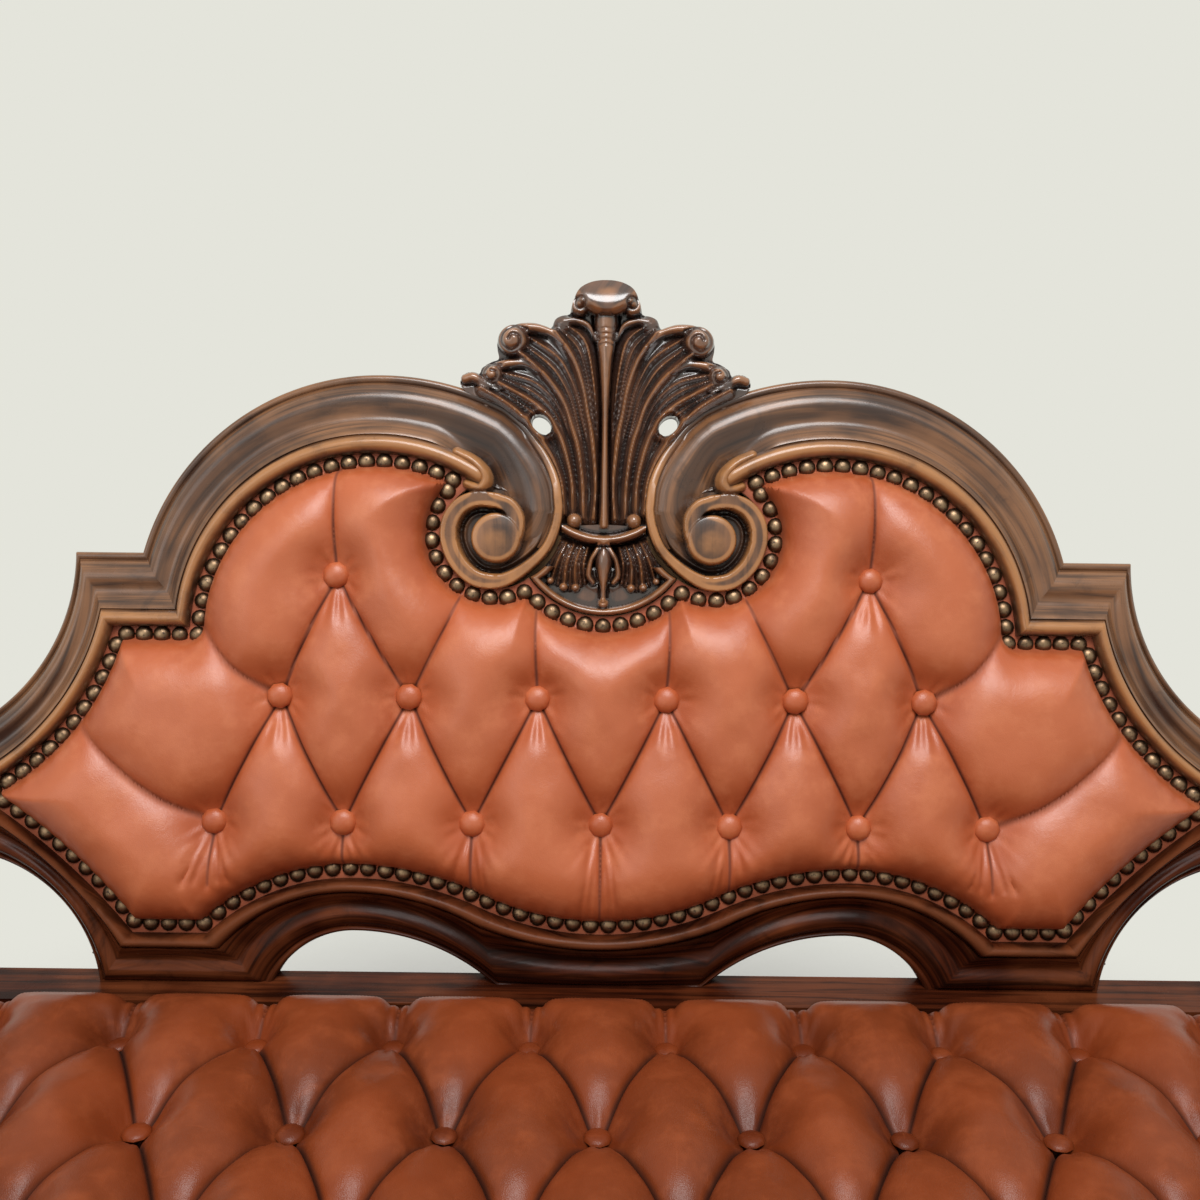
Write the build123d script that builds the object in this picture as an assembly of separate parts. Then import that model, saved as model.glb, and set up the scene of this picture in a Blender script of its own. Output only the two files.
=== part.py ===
from build123d import *
import os
from math import asin, atan2, cos, degrees, hypot, radians, sin

# Driving dimensions in millimetres and degrees.
# The back panel has its own plane: u across, v up from the ledge, w out towards the sitter.

FIT = 0.3  # clearance between neighbouring pieces
PIN_FIT = 0.2  # clearance round pins, dowels and screws

# Back panel outline
BACK_RAKE = 12.0
PANEL_HALF = 577.0  # from the middle to a back post
EAR_U = 419.0
EAR_V = 337.0
EAR_LENGTH = 53.0
EAR_INNER_U = 387.0
EAR_INNER_V = 281.0
EAR_INNER_LENGTH = 60.0
HORN_TOP_V = 178.0
HORN_BOTTOM_V = 98.0
HORN_TIP_U = 500.0
HORN_TIP_V = 147.0
HORN_TIP_ANGLE = 68.0  # place on the horn's outer arc opposite the tip
HORN_INNER_BULGE = 20.0
LOWER_HORN_U = 508.0
LOWER_HORN_BULGE = 31.0
LOWER_HORN_INNER_BULGE = 8.0
ARCH_TOP_U = 178.0
ARCH_TOP_V = 480.0
ARCH_INNER_TOP_V = 419.0
ARCH_FULLNESS = 0.675  # 0.707 would be a true quarter ellipse
ARCH_INNER_FULLNESS = 0.70
NECK_U = 78.0
NECK_V = 456.0
NECK_BULGE = 11.0
SCROLL_U = 85.0
SCROLL_V = 354.0
SCROLL_RADIUS = 42.0
SCROLL_EYE_RADIUS = 21.0
SCROLL_BACK_REACH = 51.0  # from the scroll's centre towards the middle of the panel
SCROLL_BACK_RISE = 18.0
SCROLL_BACK_BULGE = 9.0
SCROLL_CORE = 15.0  # where the moulding dies into the scroll's disc
HOOK_ANGLE = 72.0
CUP_ANGLE = -129.0
CUP_BOTTOM_V = 291.0
FOOT_OUTER_U = 397.0
FOOT_INNER_U = 262.0
FOOT_DROP = 9.0  # moulding run below the ledge plane, then sawn level
FOOT_SIGHT_OUTER_U = 370.0
FOOT_SIGHT_INNER_U = 308.0
FOOT_SIGHT_V = 35.0
GAP_TOP_U = 195.0
GAP_TOP_V = 37.5
MIDDLE_FOOT_HALF = 78.0
SERPENTINE_PEAK_U = 197.0
SERPENTINE_PEAK_V = 80.0
SERPENTINE_DIP_V = 37.0

# Back frame moulding: share of the width, height off the rear plane
LIP_HEIGHT = 17.0
COVE_HEIGHT = 15.0
OGEE_HEIGHT = 29.0
BEAD_HEIGHT = 35.0
SIGHT_HEIGHT = 29.0
SCROLL_HEIGHT = 33.0
SCROLL_EYE_HEIGHT = 40.0

# Back upholstery
BOARD_THICKNESS = 7.7
BOARD_LIFT = 8.0  # board's top edge at the middle, above half way between cup and scrolls
BOARD_SCREW_PITCH = 190.0
REBATE_WIDTH = 14.0
STRIP_WIDTH = 18.0
STRIP_TOP = 20.0
HIDE = 2.6  # leather thickness at a nailed border
FOAM_BORDER = 26.0
BACK_FOAM_TOP = 33.0
BACK_CROWN = 54.0
BACK_SHOULDER = 46.0
BACK_EDGE = 36.0
BACK_BUTTON_SEAT = 38.0
OUTSIDE_HIDE = 1.5
COVER_LAP = 8.0  # outside cover beyond the board's edge
TUFT_PITCH = 100.0
BACK_ROW_LOW_V = 128.0
BACK_ROW_MID_V = 226.0
BACK_ROW_TOP_V = 320.0
BACK_LOBE_BUTTON_U = 207.0
PLEAT_HALF_WIDTH = 24.0
# Where the outer pleats of the back run out
PLEAT_NECK_U = 112.0
PLEAT_NECK_V = 300.0
PLEAT_EAR_U = 312.0
PLEAT_HORN_U = 402.0
PLEAT_HORN_V = 200.0

# Nails, buttons, screws, dowels
NAIL_DIAMETER = 12.5
NAIL_DOME = 4.6
NAIL_PITCH = 14.0
NAIL_INSET = 9.0
NAIL_PIN_DIAMETER = 1.8
NAIL_PIN_LENGTH = 11.0
BUTTON_DIAMETER = 19.0
BUTTON_DOME = 6.0
SHANK_DIAMETER = 4.0
SHANK_LENGTH = 13.0
SCREW_DIAMETER = 4.0
SCREW_HEAD_DIAMETER = 8.0
SCREW_LENGTH = 16.0
SCREW_HEAD_HEIGHT = 3.0
BOARD_SCREW_HEAD = 2.0
DOWEL_DIAMETER = 8.0
DOWEL_LENGTH = 40.0
DOWEL_W = 12.0  # dowel axis off the panel's rear plane

# Crest and cup
CREST_TOP_V = 553.5
CREST_KNOB_HALF = 27.0
CREST_BASE_V = 362.0
CREST_REAR = 3.0
CREST_FRONT = 24.0
CREST_RIB = 32.0
CREST_CURL_U = 72.0
CREST_CURL_V = 507.0
CREST_CURL_RADIUS = 13.0
CREST_SMALL_CURL_U = 91.0
CREST_SMALL_CURL_V = 484.0
CREST_SMALL_CURL_RADIUS = 8.0
CREST_HOLE_U = 48.5
CREST_HOLE_V = 441.0
CREST_HOLE_RADIUS = 6.5
CREST_FLUTES = 4
CREST_FAN_STEP = 10.5  # degrees between ribs
CREST_FAN_REACH = 142.0
CREST_FAN_DROP = 7.0
CREST_KNOB_RADIUS = 14.0
CUP_FRONT = 27.0
CUP_DROP_RADIUS = 11.0
CUP_RIM_WIDTH = 6.0
CUP_RIM_RISE = 4.0

# Seat and its frame
LEDGE_TOP = 430.0
LEDGE_THICKNESS = 22.0
LEDGE_DEPTH = 46.0  # bare wood behind the seat leather
RAIL_BOTTOM = 268.0
RAIL_TOP = 350.0
RAIL_THICKNESS = 34.0
REAR_RAIL_SETBACK = 8.0
APRON_DROP = 22.0
SIDE_RAIL_THICKNESS = 40.0
SIDE_RAIL_SETBACK = 4.0  # behind the legs' outer faces
SEAT_FRONT = 590.0  # from the ledge's rear edge to the front rail's face
SEAT_HALF = 574.0
SEAT_FRONT_HALF = 622.0
ARM_NOTCH = 505.0  # depth at which the seat narrows behind the arm stumps
SEAT_CROWN = 455.0
SEAT_BULGE = 4.0
SEAT_BUTTON_Z = 428.0
SEAT_FOAM_BOTTOM = 352.5
SEAT_FOAM_TOP = 410.0
SEAT_FOAM_INSET = 26.0
SEAT_FIRST_ROW = 100.0
SEAT_ROW_PITCH = 97.0
SEAT_ROWS = 5
SKIRT_DROP = 15.0
HESSIAN = 1.8
HESSIAN_INSET = 10.0
BRACE_WIDTH = 34.0
BRACE_HEIGHT = 50.0
BRACE_LIFT = 4.0
BRACE_TENON = 14.0
BRACE_SHOULDER = 8.0
CLEAT_WIDTH = 30.0
CLEAT_HEIGHT = 19.0
CLEAT_FRONT_GAP = 30.0
CLEAT_REAR_GAP = 60.0
BLOCK_LEG = 78.0
BLOCK_HEIGHT = 44.0
BLOCK_LIFT = 8.0
DUST_COVER = 1.2
TENON_LENGTH = 26.0
TENON_THICKNESS = 14.0
TENON_HEIGHT = 52.0
REAR_TENON_LENGTH = 15.0  # shorter, so that it stops before the side rail's tenon
SPRING_COUNT = 9
SPRING_PITCH = 118.0
SPRING_WIRE = 3.8
SPRING_Z = 345.0
SPRING_BEND = 11.0
SPRING_RUN = 14.0
SPRING_BENDS = 22
CLIP_WIDTH = 12.0
CLIP_HEIGHT = 9.0
CLIP_REACH = 9.0

# Posts, legs and arms
POST_WIDTH = 50.0
POST_DEPTH = 44.0
POST_PROUD = 2.0  # behind the panel's rear plane
POST_BEND_V = 6.0
POST_TOP_V = 196.0
POST_SPLAY = 72.0
POST_TOE = 36.0
LEG_BLOCK = 60.0
KNEE_REACH = 12.0
ANKLE = 32.0
TOE_WIDTH = 54.0
TOE_REACH = 16.0
GLIDE_DIAMETER = 26.0
GLIDE_HEIGHT = 5.0
GLIDE_PIN_DIAMETER = 5.0
GLIDE_PIN_LENGTH = 20.0
ARM_WIDTH = 50.0
ARM_REAR_Y = 30.0  # arm shape run into the post, then cut at its face
ARM_REAR_TOP = 598.0
ARM_REAR_BOTTOM = 550.0
ARM_DIP_TOP = 580.0
ARM_DIP_BOTTOM = 541.0
ARM_SCROLL_Y = 462.0
ARM_SCROLL_Z = 556.0
ARM_SCROLL_RADIUS = 37.0
ARM_SCROLL_EYE = 15.0
ARM_EYE_PROUD = 3.0
STUMP_FRONT = 498.0
STUMP_REAR = 438.0
STUMP_WAIST = 36.0
STUMP_SHOULDER = 16.0
PAD_REAR = 105.0
PAD_FRONT = 395.0
PAD_CROWN = 27.0
PAD_SKIRT = 13.0
PAD_SLOPE = 22.0

BACK_PLANE = Plane((0, 0, LEDGE_TOP), x_dir=(1, 0, 0),
                   z_dir=(0, -cos(radians(BACK_RAKE)), sin(radians(BACK_RAKE))))


# Plane curves, each held as its start, a point half way and its end

def lerp(a, b, share):
    return (a[0] + (b[0] - a[0]) * share, a[1] + (b[1] - a[1]) * share)


def straight(a, b):
    return (a, lerp(a, b, 0.5), b)


def bulged(a, b, rise):
    # The rise is measured to the left of the way from a to b.
    length = hypot(b[0] - a[0], b[1] - a[1])
    middle = lerp(a, b, 0.5)
    left = (-(b[1] - a[1]) / length, (b[0] - a[0]) / length)
    return (a, (middle[0] + left[0] * rise, middle[1] + left[1] * rise), b)


def level(a, b):
    # An arc that leaves a along u and ends at b.
    du, dv = b[0] - a[0], b[1] - a[1]
    radius = (du * du + dv * dv) / (2 * dv)
    chord = hypot(du, dv)
    sagitta = abs(radius) - (radius * radius - chord * chord / 4) ** 0.5
    side = -1 if du * dv > 0 else 1
    return bulged(a, b, side * sagitta)


def turned(centre, radius, start, end):
    def at(angle):
        return (centre[0] + radius * cos(radians(angle)), centre[1] + radius * sin(radians(angle)))
    return (at(start), at((start + end) / 2), at(end))


def quarter(a, b, corner, fullness):
    middle = tuple(corner[i] + fullness * (a[i] - corner[i] + b[i] - corner[i]) for i in (0, 1))
    return (a, middle, b)


def back_way(curve):
    return curve[::-1]


def flipped(curve):
    return tuple((-u, v) for u, v in curve)


def is_straight(curve):
    a, m, b = curve
    cross = (b[0] - a[0]) * (m[1] - a[1]) - (b[1] - a[1]) * (m[0] - a[0])
    return abs(cross) < 1e-6 * (1 + hypot(b[0] - a[0], b[1] - a[1]) ** 2)


def headings(curve):
    # Unit directions at the start, half way and the end.
    a, m, b = curve
    chord = hypot(b[0] - a[0], b[1] - a[1])
    along = ((b[0] - a[0]) / chord, (b[1] - a[1]) / chord)
    if is_straight(curve):
        return along, along, along
    first = (m[0] - a[0], m[1] - a[1])
    size = hypot(*first)
    first = (first[0] / size, first[1] / size)
    # The chord to the half-way point turns by half the angle between start and middle.
    turn_cos = first[0] * along[0] + first[1] * along[1]
    turn_sin = first[0] * along[1] - first[1] * along[0]

    def swing(way, sign):
        s = turn_sin * sign
        return (way[0] * turn_cos - way[1] * s, way[0] * s + way[1] * turn_cos)
    return swing(first, -1), along, swing(swing(along, 1), 1)


def round_centre(curve):
    # Centre of the circle through an arc's three points.
    (ax, ay), (mx, my), (bx, by) = curve
    px, py, qx, qy = mx - ax, my - ay, bx - ax, by - ay
    area = 2 * (px * qy - py * qx)
    p2, q2 = px * px + py * py, qx * qx + qy * qy
    return (ax + (qy * p2 - py * q2) / area, ay + (px * q2 - qx * p2) / area)


def left_of(curve, point):
    # Distance of a point to the left of a curve, and the direction in which it grows.
    a, m, b = curve
    if is_straight(curve):
        way = headings(curve)[0]
        normal = (-way[1], way[0])
        return (point[0] - a[0]) * normal[0] + (point[1] - a[1]) * normal[1], normal
    centre = round_centre(curve)
    radius = hypot(a[0] - centre[0], a[1] - centre[1])
    away = (point[0] - centre[0], point[1] - centre[1])
    size = hypot(*away)
    anticlockwise = (m[0] - a[0]) * (b[1] - m[1]) - (m[1] - a[1]) * (b[0] - m[0]) > 0
    sign = -1 if anticlockwise else 1
    return sign * (size - radius), (sign * away[0] / size, sign * away[1] / size)


def inset_corner(before, after, distance):
    # The place that lies the same distance to the left of both curves.
    point = after[0]
    way_in, way_out = headings(before)[2], headings(after)[0]
    if abs(way_in[0] * way_out[1] - way_in[1] * way_out[0]) < 0.06:
        return (point[0] - way_out[1] * distance, point[1] + way_out[0] * distance)
    steps = 8
    for step in range(1, steps + 1):
        goal = distance * step / steps
        for _ in range(4):
            (d1, n1), (d2, n2) = left_of(before, point), left_of(after, point)
            area = n1[0] * n2[1] - n1[1] * n2[0]
            e1, e2 = goal - d1, goal - d2
            point = (point[0] + (e1 * n2[1] - e2 * n1[1]) / area, point[1] + (e2 * n1[0] - e1 * n2[0]) / area)
    return point


def inset(chain, distance):
    # The closed chain moved to its left, each corner to the place level with both its curves.
    corners = [inset_corner(chain[i - 1], chain[i], distance) for i in range(len(chain))]
    result = []
    for i, curve in enumerate(chain):
        a, b = corners[i], corners[(i + 1) % len(chain)]
        if is_straight(curve):
            result.append(straight(a, b))
            continue
        centre = round_centre(curve)
        reach = (a[0] + b[0] - 2 * centre[0], a[1] + b[1] - 2 * centre[1])
        side = reach[0] * (curve[1][0] - centre[0]) + reach[1] * (curve[1][1] - centre[1])
        size = hypot(*reach) * (1 if side > 0 else -1)
        radius = hypot(a[0] - centre[0], a[1] - centre[1])
        result.append((a, (centre[0] + reach[0] / size * radius, centre[1] + reach[1] / size * radius), b))
    return result


def edge(curve, w=0.0):
    a, m, b = (Vector(p[0], p[1], w) for p in curve)
    if is_straight(curve):
        return Edge.make_line(a, b)
    return Edge.make_three_point_arc(a, m, b)


def outline(chain, w=0.0):
    return Wire([edge(curve, w) for curve in chain])


def flat(chain, w=0.0, holes=()):
    return Face(outline(chain, w), list(holes))


def prism(chain, bottom, top, holes=()):
    return extrude(flat(chain, bottom, holes), top - bottom, dir=(0, 0, 1))


def ring_hole(point, diameter, w):
    return Wire(Edge.make_circle(diameter / 2, Plane((point[0], point[1], w))))


def polygon(points):
    return [straight(points[i], points[(i + 1) % len(points)]) for i in range(len(points))]


def layered(chain, levels):
    # A closed body through the same chain inset by a different distance at each height.
    rings = [[edge(curve, w) for curve in inset(chain, distance)] for distance, w in levels]
    faces = []
    for low, high in zip(rings, rings[1:]):
        faces += [Face.make_surface_from_curves(a, b) for a, b in zip(low, high)]
    faces += [Face(Wire(rings[0])), Face(Wire(rings[-1]))]
    return Part() + Solid(Shell(faces))


def side_prism(chain, x_from, x_to):
    # Chain points are depth and height; the prism runs across the sofa.
    return Plane.YZ * prism(chain, x_from, x_to)


def group(pieces):
    return Compound(children=list(pieces))


def box(x0, x1, y0, y1, z0, z1):
    return Pos((x0 + x1) / 2, (y0 + y1) / 2, (z0 + z1) / 2) * Box(x1 - x0, y1 - y0, z1 - z0)


def rod(diameter, start, end):
    a, b = Vector(*start), Vector(*end)
    return Plane(a, z_dir=(b - a)) * Cylinder(
        diameter / 2, (b - a).length, align=(Align.CENTER, Align.CENTER, Align.MIN))


def nail(length=NAIL_PIN_LENGTH):
    half = NAIL_DIAMETER / 2
    rise = NAIL_DOME
    radius = (half * half + rise * rise) / (2 * rise)
    dome = Pos(0, 0, rise - radius) * Sphere(radius)
    dome = dome & Pos(0, 0, rise / 2) * Box(3 * radius, 3 * radius, rise)
    return dome + rod(NAIL_PIN_DIAMETER, (0, 0, -length), (0, 0, rise / 2))


def button():
    half = BUTTON_DIAMETER / 2
    rise = BUTTON_DOME
    radius = (half * half + rise * rise) / (2 * rise)
    dome = Pos(0, 0, rise - radius) * Sphere(radius)
    dome = dome & Pos(0, 0, rise / 2) * Box(3 * radius, 3 * radius, rise)
    return dome + rod(SHANK_DIAMETER, (0, 0, -SHANK_LENGTH), (0, 0, rise / 2))


def screw():
    head = Pos(0, 0, -SCREW_HEAD_HEIGHT / 2) * Cylinder(SCREW_HEAD_DIAMETER / 2, SCREW_HEAD_HEIGHT)
    return head + rod(SCREW_DIAMETER, (0, 0, -SCREW_LENGTH), (0, 0, -1))


def screw_room():
    head = Cylinder(SCREW_HEAD_DIAMETER / 2 + PIN_FIT, SCREW_HEAD_HEIGHT + 2 * PIN_FIT)
    head = Pos(0, 0, -SCREW_HEAD_HEIGHT / 2) * head
    return head + rod(SCREW_DIAMETER + 2 * PIN_FIT, (0, 0, -SCREW_LENGTH - PIN_FIT), (0, 0, -1))


# The panel's leading points and curves, right half

ear = (EAR_U, EAR_V)
ear_end = (EAR_U - EAR_LENGTH, EAR_V)
sight_ear = (EAR_INNER_U, EAR_INNER_V)
sight_ear_end = (EAR_INNER_U - EAR_INNER_LENGTH, EAR_INNER_V)


def horn_point(angle):
    return (PANEL_HALF - (PANEL_HALF - EAR_U) * cos(radians(angle)),
            EAR_V - (EAR_V - HORN_TOP_V) * sin(radians(angle)))


horn_mid_v = (HORN_TOP_V + HORN_BOTTOM_V) / 2
tip = (HORN_TIP_U, HORN_TIP_V)
post_top = (PANEL_HALF, HORN_TOP_V)
post_mid = (PANEL_HALF, horn_mid_v)
post_low = (PANEL_HALF, HORN_BOTTOM_V)
lower_horn = (LOWER_HORN_U, HORN_BOTTOM_V)
foot_outer = (FOOT_OUTER_U, -FOOT_DROP)
foot_inner = (FOOT_INNER_U, -FOOT_DROP)
sight_foot_outer = (FOOT_SIGHT_OUTER_U, FOOT_SIGHT_V)
sight_foot_inner = (FOOT_SIGHT_INNER_U, FOOT_SIGHT_V)
gap_top = (GAP_TOP_U, GAP_TOP_V)
middle_foot = (MIDDLE_FOOT_HALF, -FOOT_DROP)
peak = (SERPENTINE_PEAK_U, SERPENTINE_PEAK_V)
dip = (0.0, SERPENTINE_DIP_V)
swell = lerp(dip, peak, 0.5)
arch_top = (ARCH_TOP_U, ARCH_TOP_V)
sight_arch_top = (ARCH_TOP_U, ARCH_INNER_TOP_V)
neck = (NECK_U, NECK_V)
scroll_centre = (SCROLL_U, SCROLL_V)
scroll_back = (SCROLL_U - SCROLL_BACK_REACH, SCROLL_V + SCROLL_BACK_RISE)
hook = turned(scroll_centre, SCROLL_RADIUS, HOOK_ANGLE, HOOK_ANGLE)[0]
cup_joint = turned(scroll_centre, SCROLL_RADIUS, CUP_ANGLE, CUP_ANGLE)[0]
cup_bottom = (0.0, CUP_BOTTOM_V)
core_high = (SCROLL_U - SCROLL_CORE, SCROLL_V + SCROLL_CORE)
core_low = (SCROLL_U - SCROLL_CORE, SCROLL_V - SCROLL_CORE)

ear_run = straight(ear_end, ear)
sight_ear_run = straight(sight_ear_end, sight_ear)
horn_split = horn_point(HORN_TIP_ANGLE)
horn_run = (ear, horn_point(HORN_TIP_ANGLE / 2), horn_split)
horn_end_run = (horn_split, horn_point((HORN_TIP_ANGLE + 90) / 2), post_top)
sight_horn_run = bulged(sight_ear, tip, -HORN_INNER_BULGE)
tip_run = straight(tip, post_mid)
lower_end_run = straight(lower_horn, post_low)
lower_run = bulged(foot_outer, lower_horn, LOWER_HORN_BULGE)
sight_lower_run = bulged(sight_foot_outer, tip, LOWER_HORN_INNER_BULGE)
foot_run = straight(foot_inner, foot_outer)
sight_foot_run = straight(sight_foot_inner, sight_foot_outer)
gap_outer_run = level(gap_top, foot_inner)
gap_inner_run = level(gap_top, middle_foot)
sight_peak_run = level(peak, sight_foot_inner)
sight_swell_run = level(peak, swell)
sight_dip_run = level(dip, swell)
middle_foot_run = straight((0.0, -FOOT_DROP), middle_foot)
arch_run = quarter(ear_end, arch_top, (ARCH_TOP_U, EAR_V), ARCH_FULLNESS)
sight_arch_run = quarter(sight_ear_end, sight_arch_top, (ARCH_TOP_U, EAR_INNER_V), ARCH_INNER_FULLNESS)
brow_run = level(arch_top, neck)
sight_brow_run = level(sight_arch_top, hook)
neck_run = bulged(neck, scroll_back, -NECK_BULGE)
sight_neck_run = straight(hook, core_high)
throat_run = bulged(scroll_back, cup_joint, -SCROLL_BACK_BULGE)
sight_throat_run = straight(core_high, core_low)
cup_run = back_way(level(cup_bottom, cup_joint))
scroll_mid_angle = (HOOK_ANGLE + CUP_ANGLE) / 2
scroll_runs = [turned(scroll_centre, SCROLL_RADIUS, HOOK_ANGLE, scroll_mid_angle),
               turned(scroll_centre, SCROLL_RADIUS, scroll_mid_angle, CUP_ANGLE)]

# The opening the upholstery fills, once round with the inside on the left
right_sight = [sight_dip_run, back_way(sight_swell_run), sight_peak_run, sight_foot_run, sight_lower_run,
               back_way(sight_horn_run), back_way(sight_ear_run), sight_arch_run, sight_brow_run,
               *scroll_runs, cup_run]
sight = right_sight + [flipped(back_way(curve)) for curve in reversed(right_sight)]

# The board behind it passes under the scrolls and the cup
board_dip = (0.0, (CUP_BOTTOM_V + SCROLL_V) / 2 + BOARD_LIFT)
right_board = right_sight[:8] + [straight(sight_arch_top, scroll_centre), straight(scroll_centre, board_dip)]
board_line = right_board + [flipped(back_way(curve)) for curve in reversed(right_board)]

PROFILE = [(0.0, 0.0), (0.0, LIP_HEIGHT - 2), (0.04, LIP_HEIGHT), (0.13, LIP_HEIGHT), (0.18, COVE_HEIGHT),
           (0.30, COVE_HEIGHT + 0.5), (0.45, COVE_HEIGHT + 4.5), (0.60, OGEE_HEIGHT - 3), (0.68, OGEE_HEIGHT),
           (0.76, OGEE_HEIGHT - 1), (0.79, BEAD_HEIGHT - 3), (0.85, BEAD_HEIGHT), (0.92, BEAD_HEIGHT),
           (1.0, SIGHT_HEIGHT), (1.0, 0.0)]


def moulding(runs):
    # A run is the outer curve and the sight curve; the profile is ruled between the curves in between.
    strips = [[(tuple(lerp(o, i, share) for o, i in zip(outer, inner)), w) for share, w in PROFILE]
              for outer, inner in runs]
    faces = []
    for strip in strips:
        for (low, low_w), (high, high_w) in zip(strip, strip[1:] + strip[:1]):
            faces.append(Face.make_surface_from_curves(edge(low, low_w), edge(high, high_w)))
    for strip, end in ((strips[0], 0), (strips[-1], 2)):
        corners = [Vector(curve[end][0], curve[end][1], w) for curve, w in strip]
        faces.append(Face(Wire.make_polygon(corners, close=True)))
    return Part() + Solid(Shell(faces))


# Where frame pieces meet, a dowel crosses each joint
def dowel_across(a, b, w, room=0.0):
    # The joint line runs from a to b; the dowel crosses it half way, square to it.
    length = hypot(b[0] - a[0], b[1] - a[1])
    way = (-(b[1] - a[1]) / length, (b[0] - a[0]) / length)
    middle = lerp(a, b, 0.42)
    reach = DOWEL_LENGTH / 2 + room
    ends = [(middle[0] + way[0] * s * reach, middle[1] + way[1] * s * reach, w) for s in (-1, 1)]
    return rod(DOWEL_DIAMETER + 2 * room, *ends)


frame_joints = [(ear_end, sight_ear_end), (foot_outer, sight_foot_outer), (post_top, post_mid),
                (post_low, post_mid)]


def frame_dowels(room=0.0):
    return [dowel_across(a, b, DOWEL_W, room) for a, b in frame_joints]


def foot_dowel(u, room=0.0):
    # Stands upright between a foot and the ledge.
    reach = DOWEL_LENGTH / 2 - 4 + room
    y = -DOWEL_W * cos(radians(BACK_RAKE))
    return rod(DOWEL_DIAMETER + 2 * room, (u, y, LEDGE_TOP - reach), (u, y, LEDGE_TOP + reach))


foot_dowel_places = [-(FOOT_OUTER_U + FOOT_INNER_U) / 2, 0.0, (FOOT_OUTER_U + FOOT_INNER_U) / 2]

board_pocket = prism(inset(board_line, -REBATE_WIDTH), 0, BOARD_THICKNESS + FIT)


def along(chain, distance, pitch):
    # Evenly spaced places on the chain moved inwards.
    wire = outline(inset(chain, distance))
    count = round(wire.length / pitch)
    points = [wire.position_at((i + 0.5) / count) for i in range(count)]
    return [(p.X, p.Y) for p in points]


board_screw_places = along(board_line, -REBATE_WIDTH / 2, BOARD_SCREW_PITCH)
pilot_holes = [rod(SCREW_DIAMETER + 2 * PIN_FIT, (u, v, 0), (u, v, SCREW_LENGTH + PIN_FIT))
               for u, v in board_screw_places]
dowel_rooms = frame_dowels(PIN_FIT)
ledge_room = box(-2 * PANEL_HALF, 2 * PANEL_HALF, -4 * LEDGE_DEPTH, 2 * LEDGE_DEPTH, 0, LEDGE_TOP)
foot_rooms = [foot_dowel(u, PIN_FIT) for u in foot_dowel_places]


def placed(piece):
    return BACK_PLANE * piece


def both(right_piece):
    return right_piece, mirror(right_piece, about=Plane.YZ)


def back_arch():
    body = moulding([(arch_run, sight_arch_run), (brow_run, sight_brow_run), (neck_run, sight_neck_run),
                     (throat_run, sight_throat_run)])
    disc = Pos(SCROLL_U, SCROLL_V, SCROLL_HEIGHT / 2) * Cylinder(SCROLL_RADIUS, SCROLL_HEIGHT)
    groove = Pos(SCROLL_U, SCROLL_V, SCROLL_HEIGHT) * (
        Cylinder(SCROLL_EYE_RADIUS + 7, 12) - Cylinder(SCROLL_EYE_RADIUS, 12))
    eye = Pos(SCROLL_U, SCROLL_V, SCROLL_EYE_HEIGHT / 2) * Cone(
        SCROLL_EYE_RADIUS, SCROLL_EYE_RADIUS * 0.7, SCROLL_EYE_HEIGHT)
    body = body + disc - groove + eye
    return placed(body - [board_pocket, *pilot_holes, *dowel_rooms])


def back_horn():
    body = moulding([(ear_run, sight_ear_run), (horn_run, sight_horn_run), (horn_end_run, tip_run)])
    return placed(body - [board_pocket, *pilot_holes, *dowel_rooms])


def back_lower_horn():
    body = moulding([(lower_run, sight_lower_run), (lower_end_run, tip_run)])
    return placed(body - [board_pocket, *pilot_holes, *dowel_rooms]) - ledge_room


def back_bottom_rail():
    right = [(middle_foot_run, sight_dip_run), (back_way(gap_inner_run), back_way(sight_swell_run)),
             (gap_outer_run, sight_peak_run), (foot_run, sight_foot_run)]
    left = [(flipped(back_way(o)), flipped(back_way(i))) for o, i in reversed(right)]
    body = moulding(left + right)
    mirrored_rooms = [mirror(room, about=Plane.YZ) for room in dowel_rooms]
    body = placed(body - [board_pocket, *pilot_holes, *dowel_rooms, *mirrored_rooms])
    return body - [ledge_room, *foot_rooms]


# Back upholstery

nail_places = along(sight, NAIL_INSET, NAIL_PITCH)
half_pitch = TUFT_PITCH / 2
row_low = [(i * TUFT_PITCH, BACK_ROW_LOW_V) for i in range(-3, 4)]
row_mid = [((i + 0.5) * TUFT_PITCH, BACK_ROW_MID_V) for i in range(-3, 3)]
row_top = [(-BACK_LOBE_BUTTON_U, BACK_ROW_TOP_V), (BACK_LOBE_BUTTON_U, BACK_ROW_TOP_V)]
back_button_places = row_low + row_mid + row_top


def back_pleats():
    pleats = []
    for a in row_mid:
        pleats += [(a, b) for b in row_low if abs(abs(a[0] - b[0]) - half_pitch) < 1]
    for a in row_top:
        pleats += [(a, b) for b in row_mid if 1 < abs(a[0] - b[0]) < 0.6 * TUFT_PITCH]
        pleats.append((a, (a[0], ARCH_INNER_TOP_V)))
    for u, v in row_low:
        pleats.append(((u, v), (u, 0.0)))
    for side in (-1, 1):
        inner, middle, outer = ((side * half_pitch * k, BACK_ROW_MID_V) for k in (1, 3, 5))
        pleats.append((inner, (inner[0], CUP_BOTTOM_V + 10)))
        pleats.append((middle, (side * PLEAT_NECK_U, PLEAT_NECK_V)))
        pleats.append((outer, (side * PLEAT_EAR_U, EAR_INNER_V)))
        last = (side * 3 * TUFT_PITCH, BACK_ROW_LOW_V)
        pleats.append((last, (side * PLEAT_HORN_U, PLEAT_HORN_V)))
    return pleats


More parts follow.
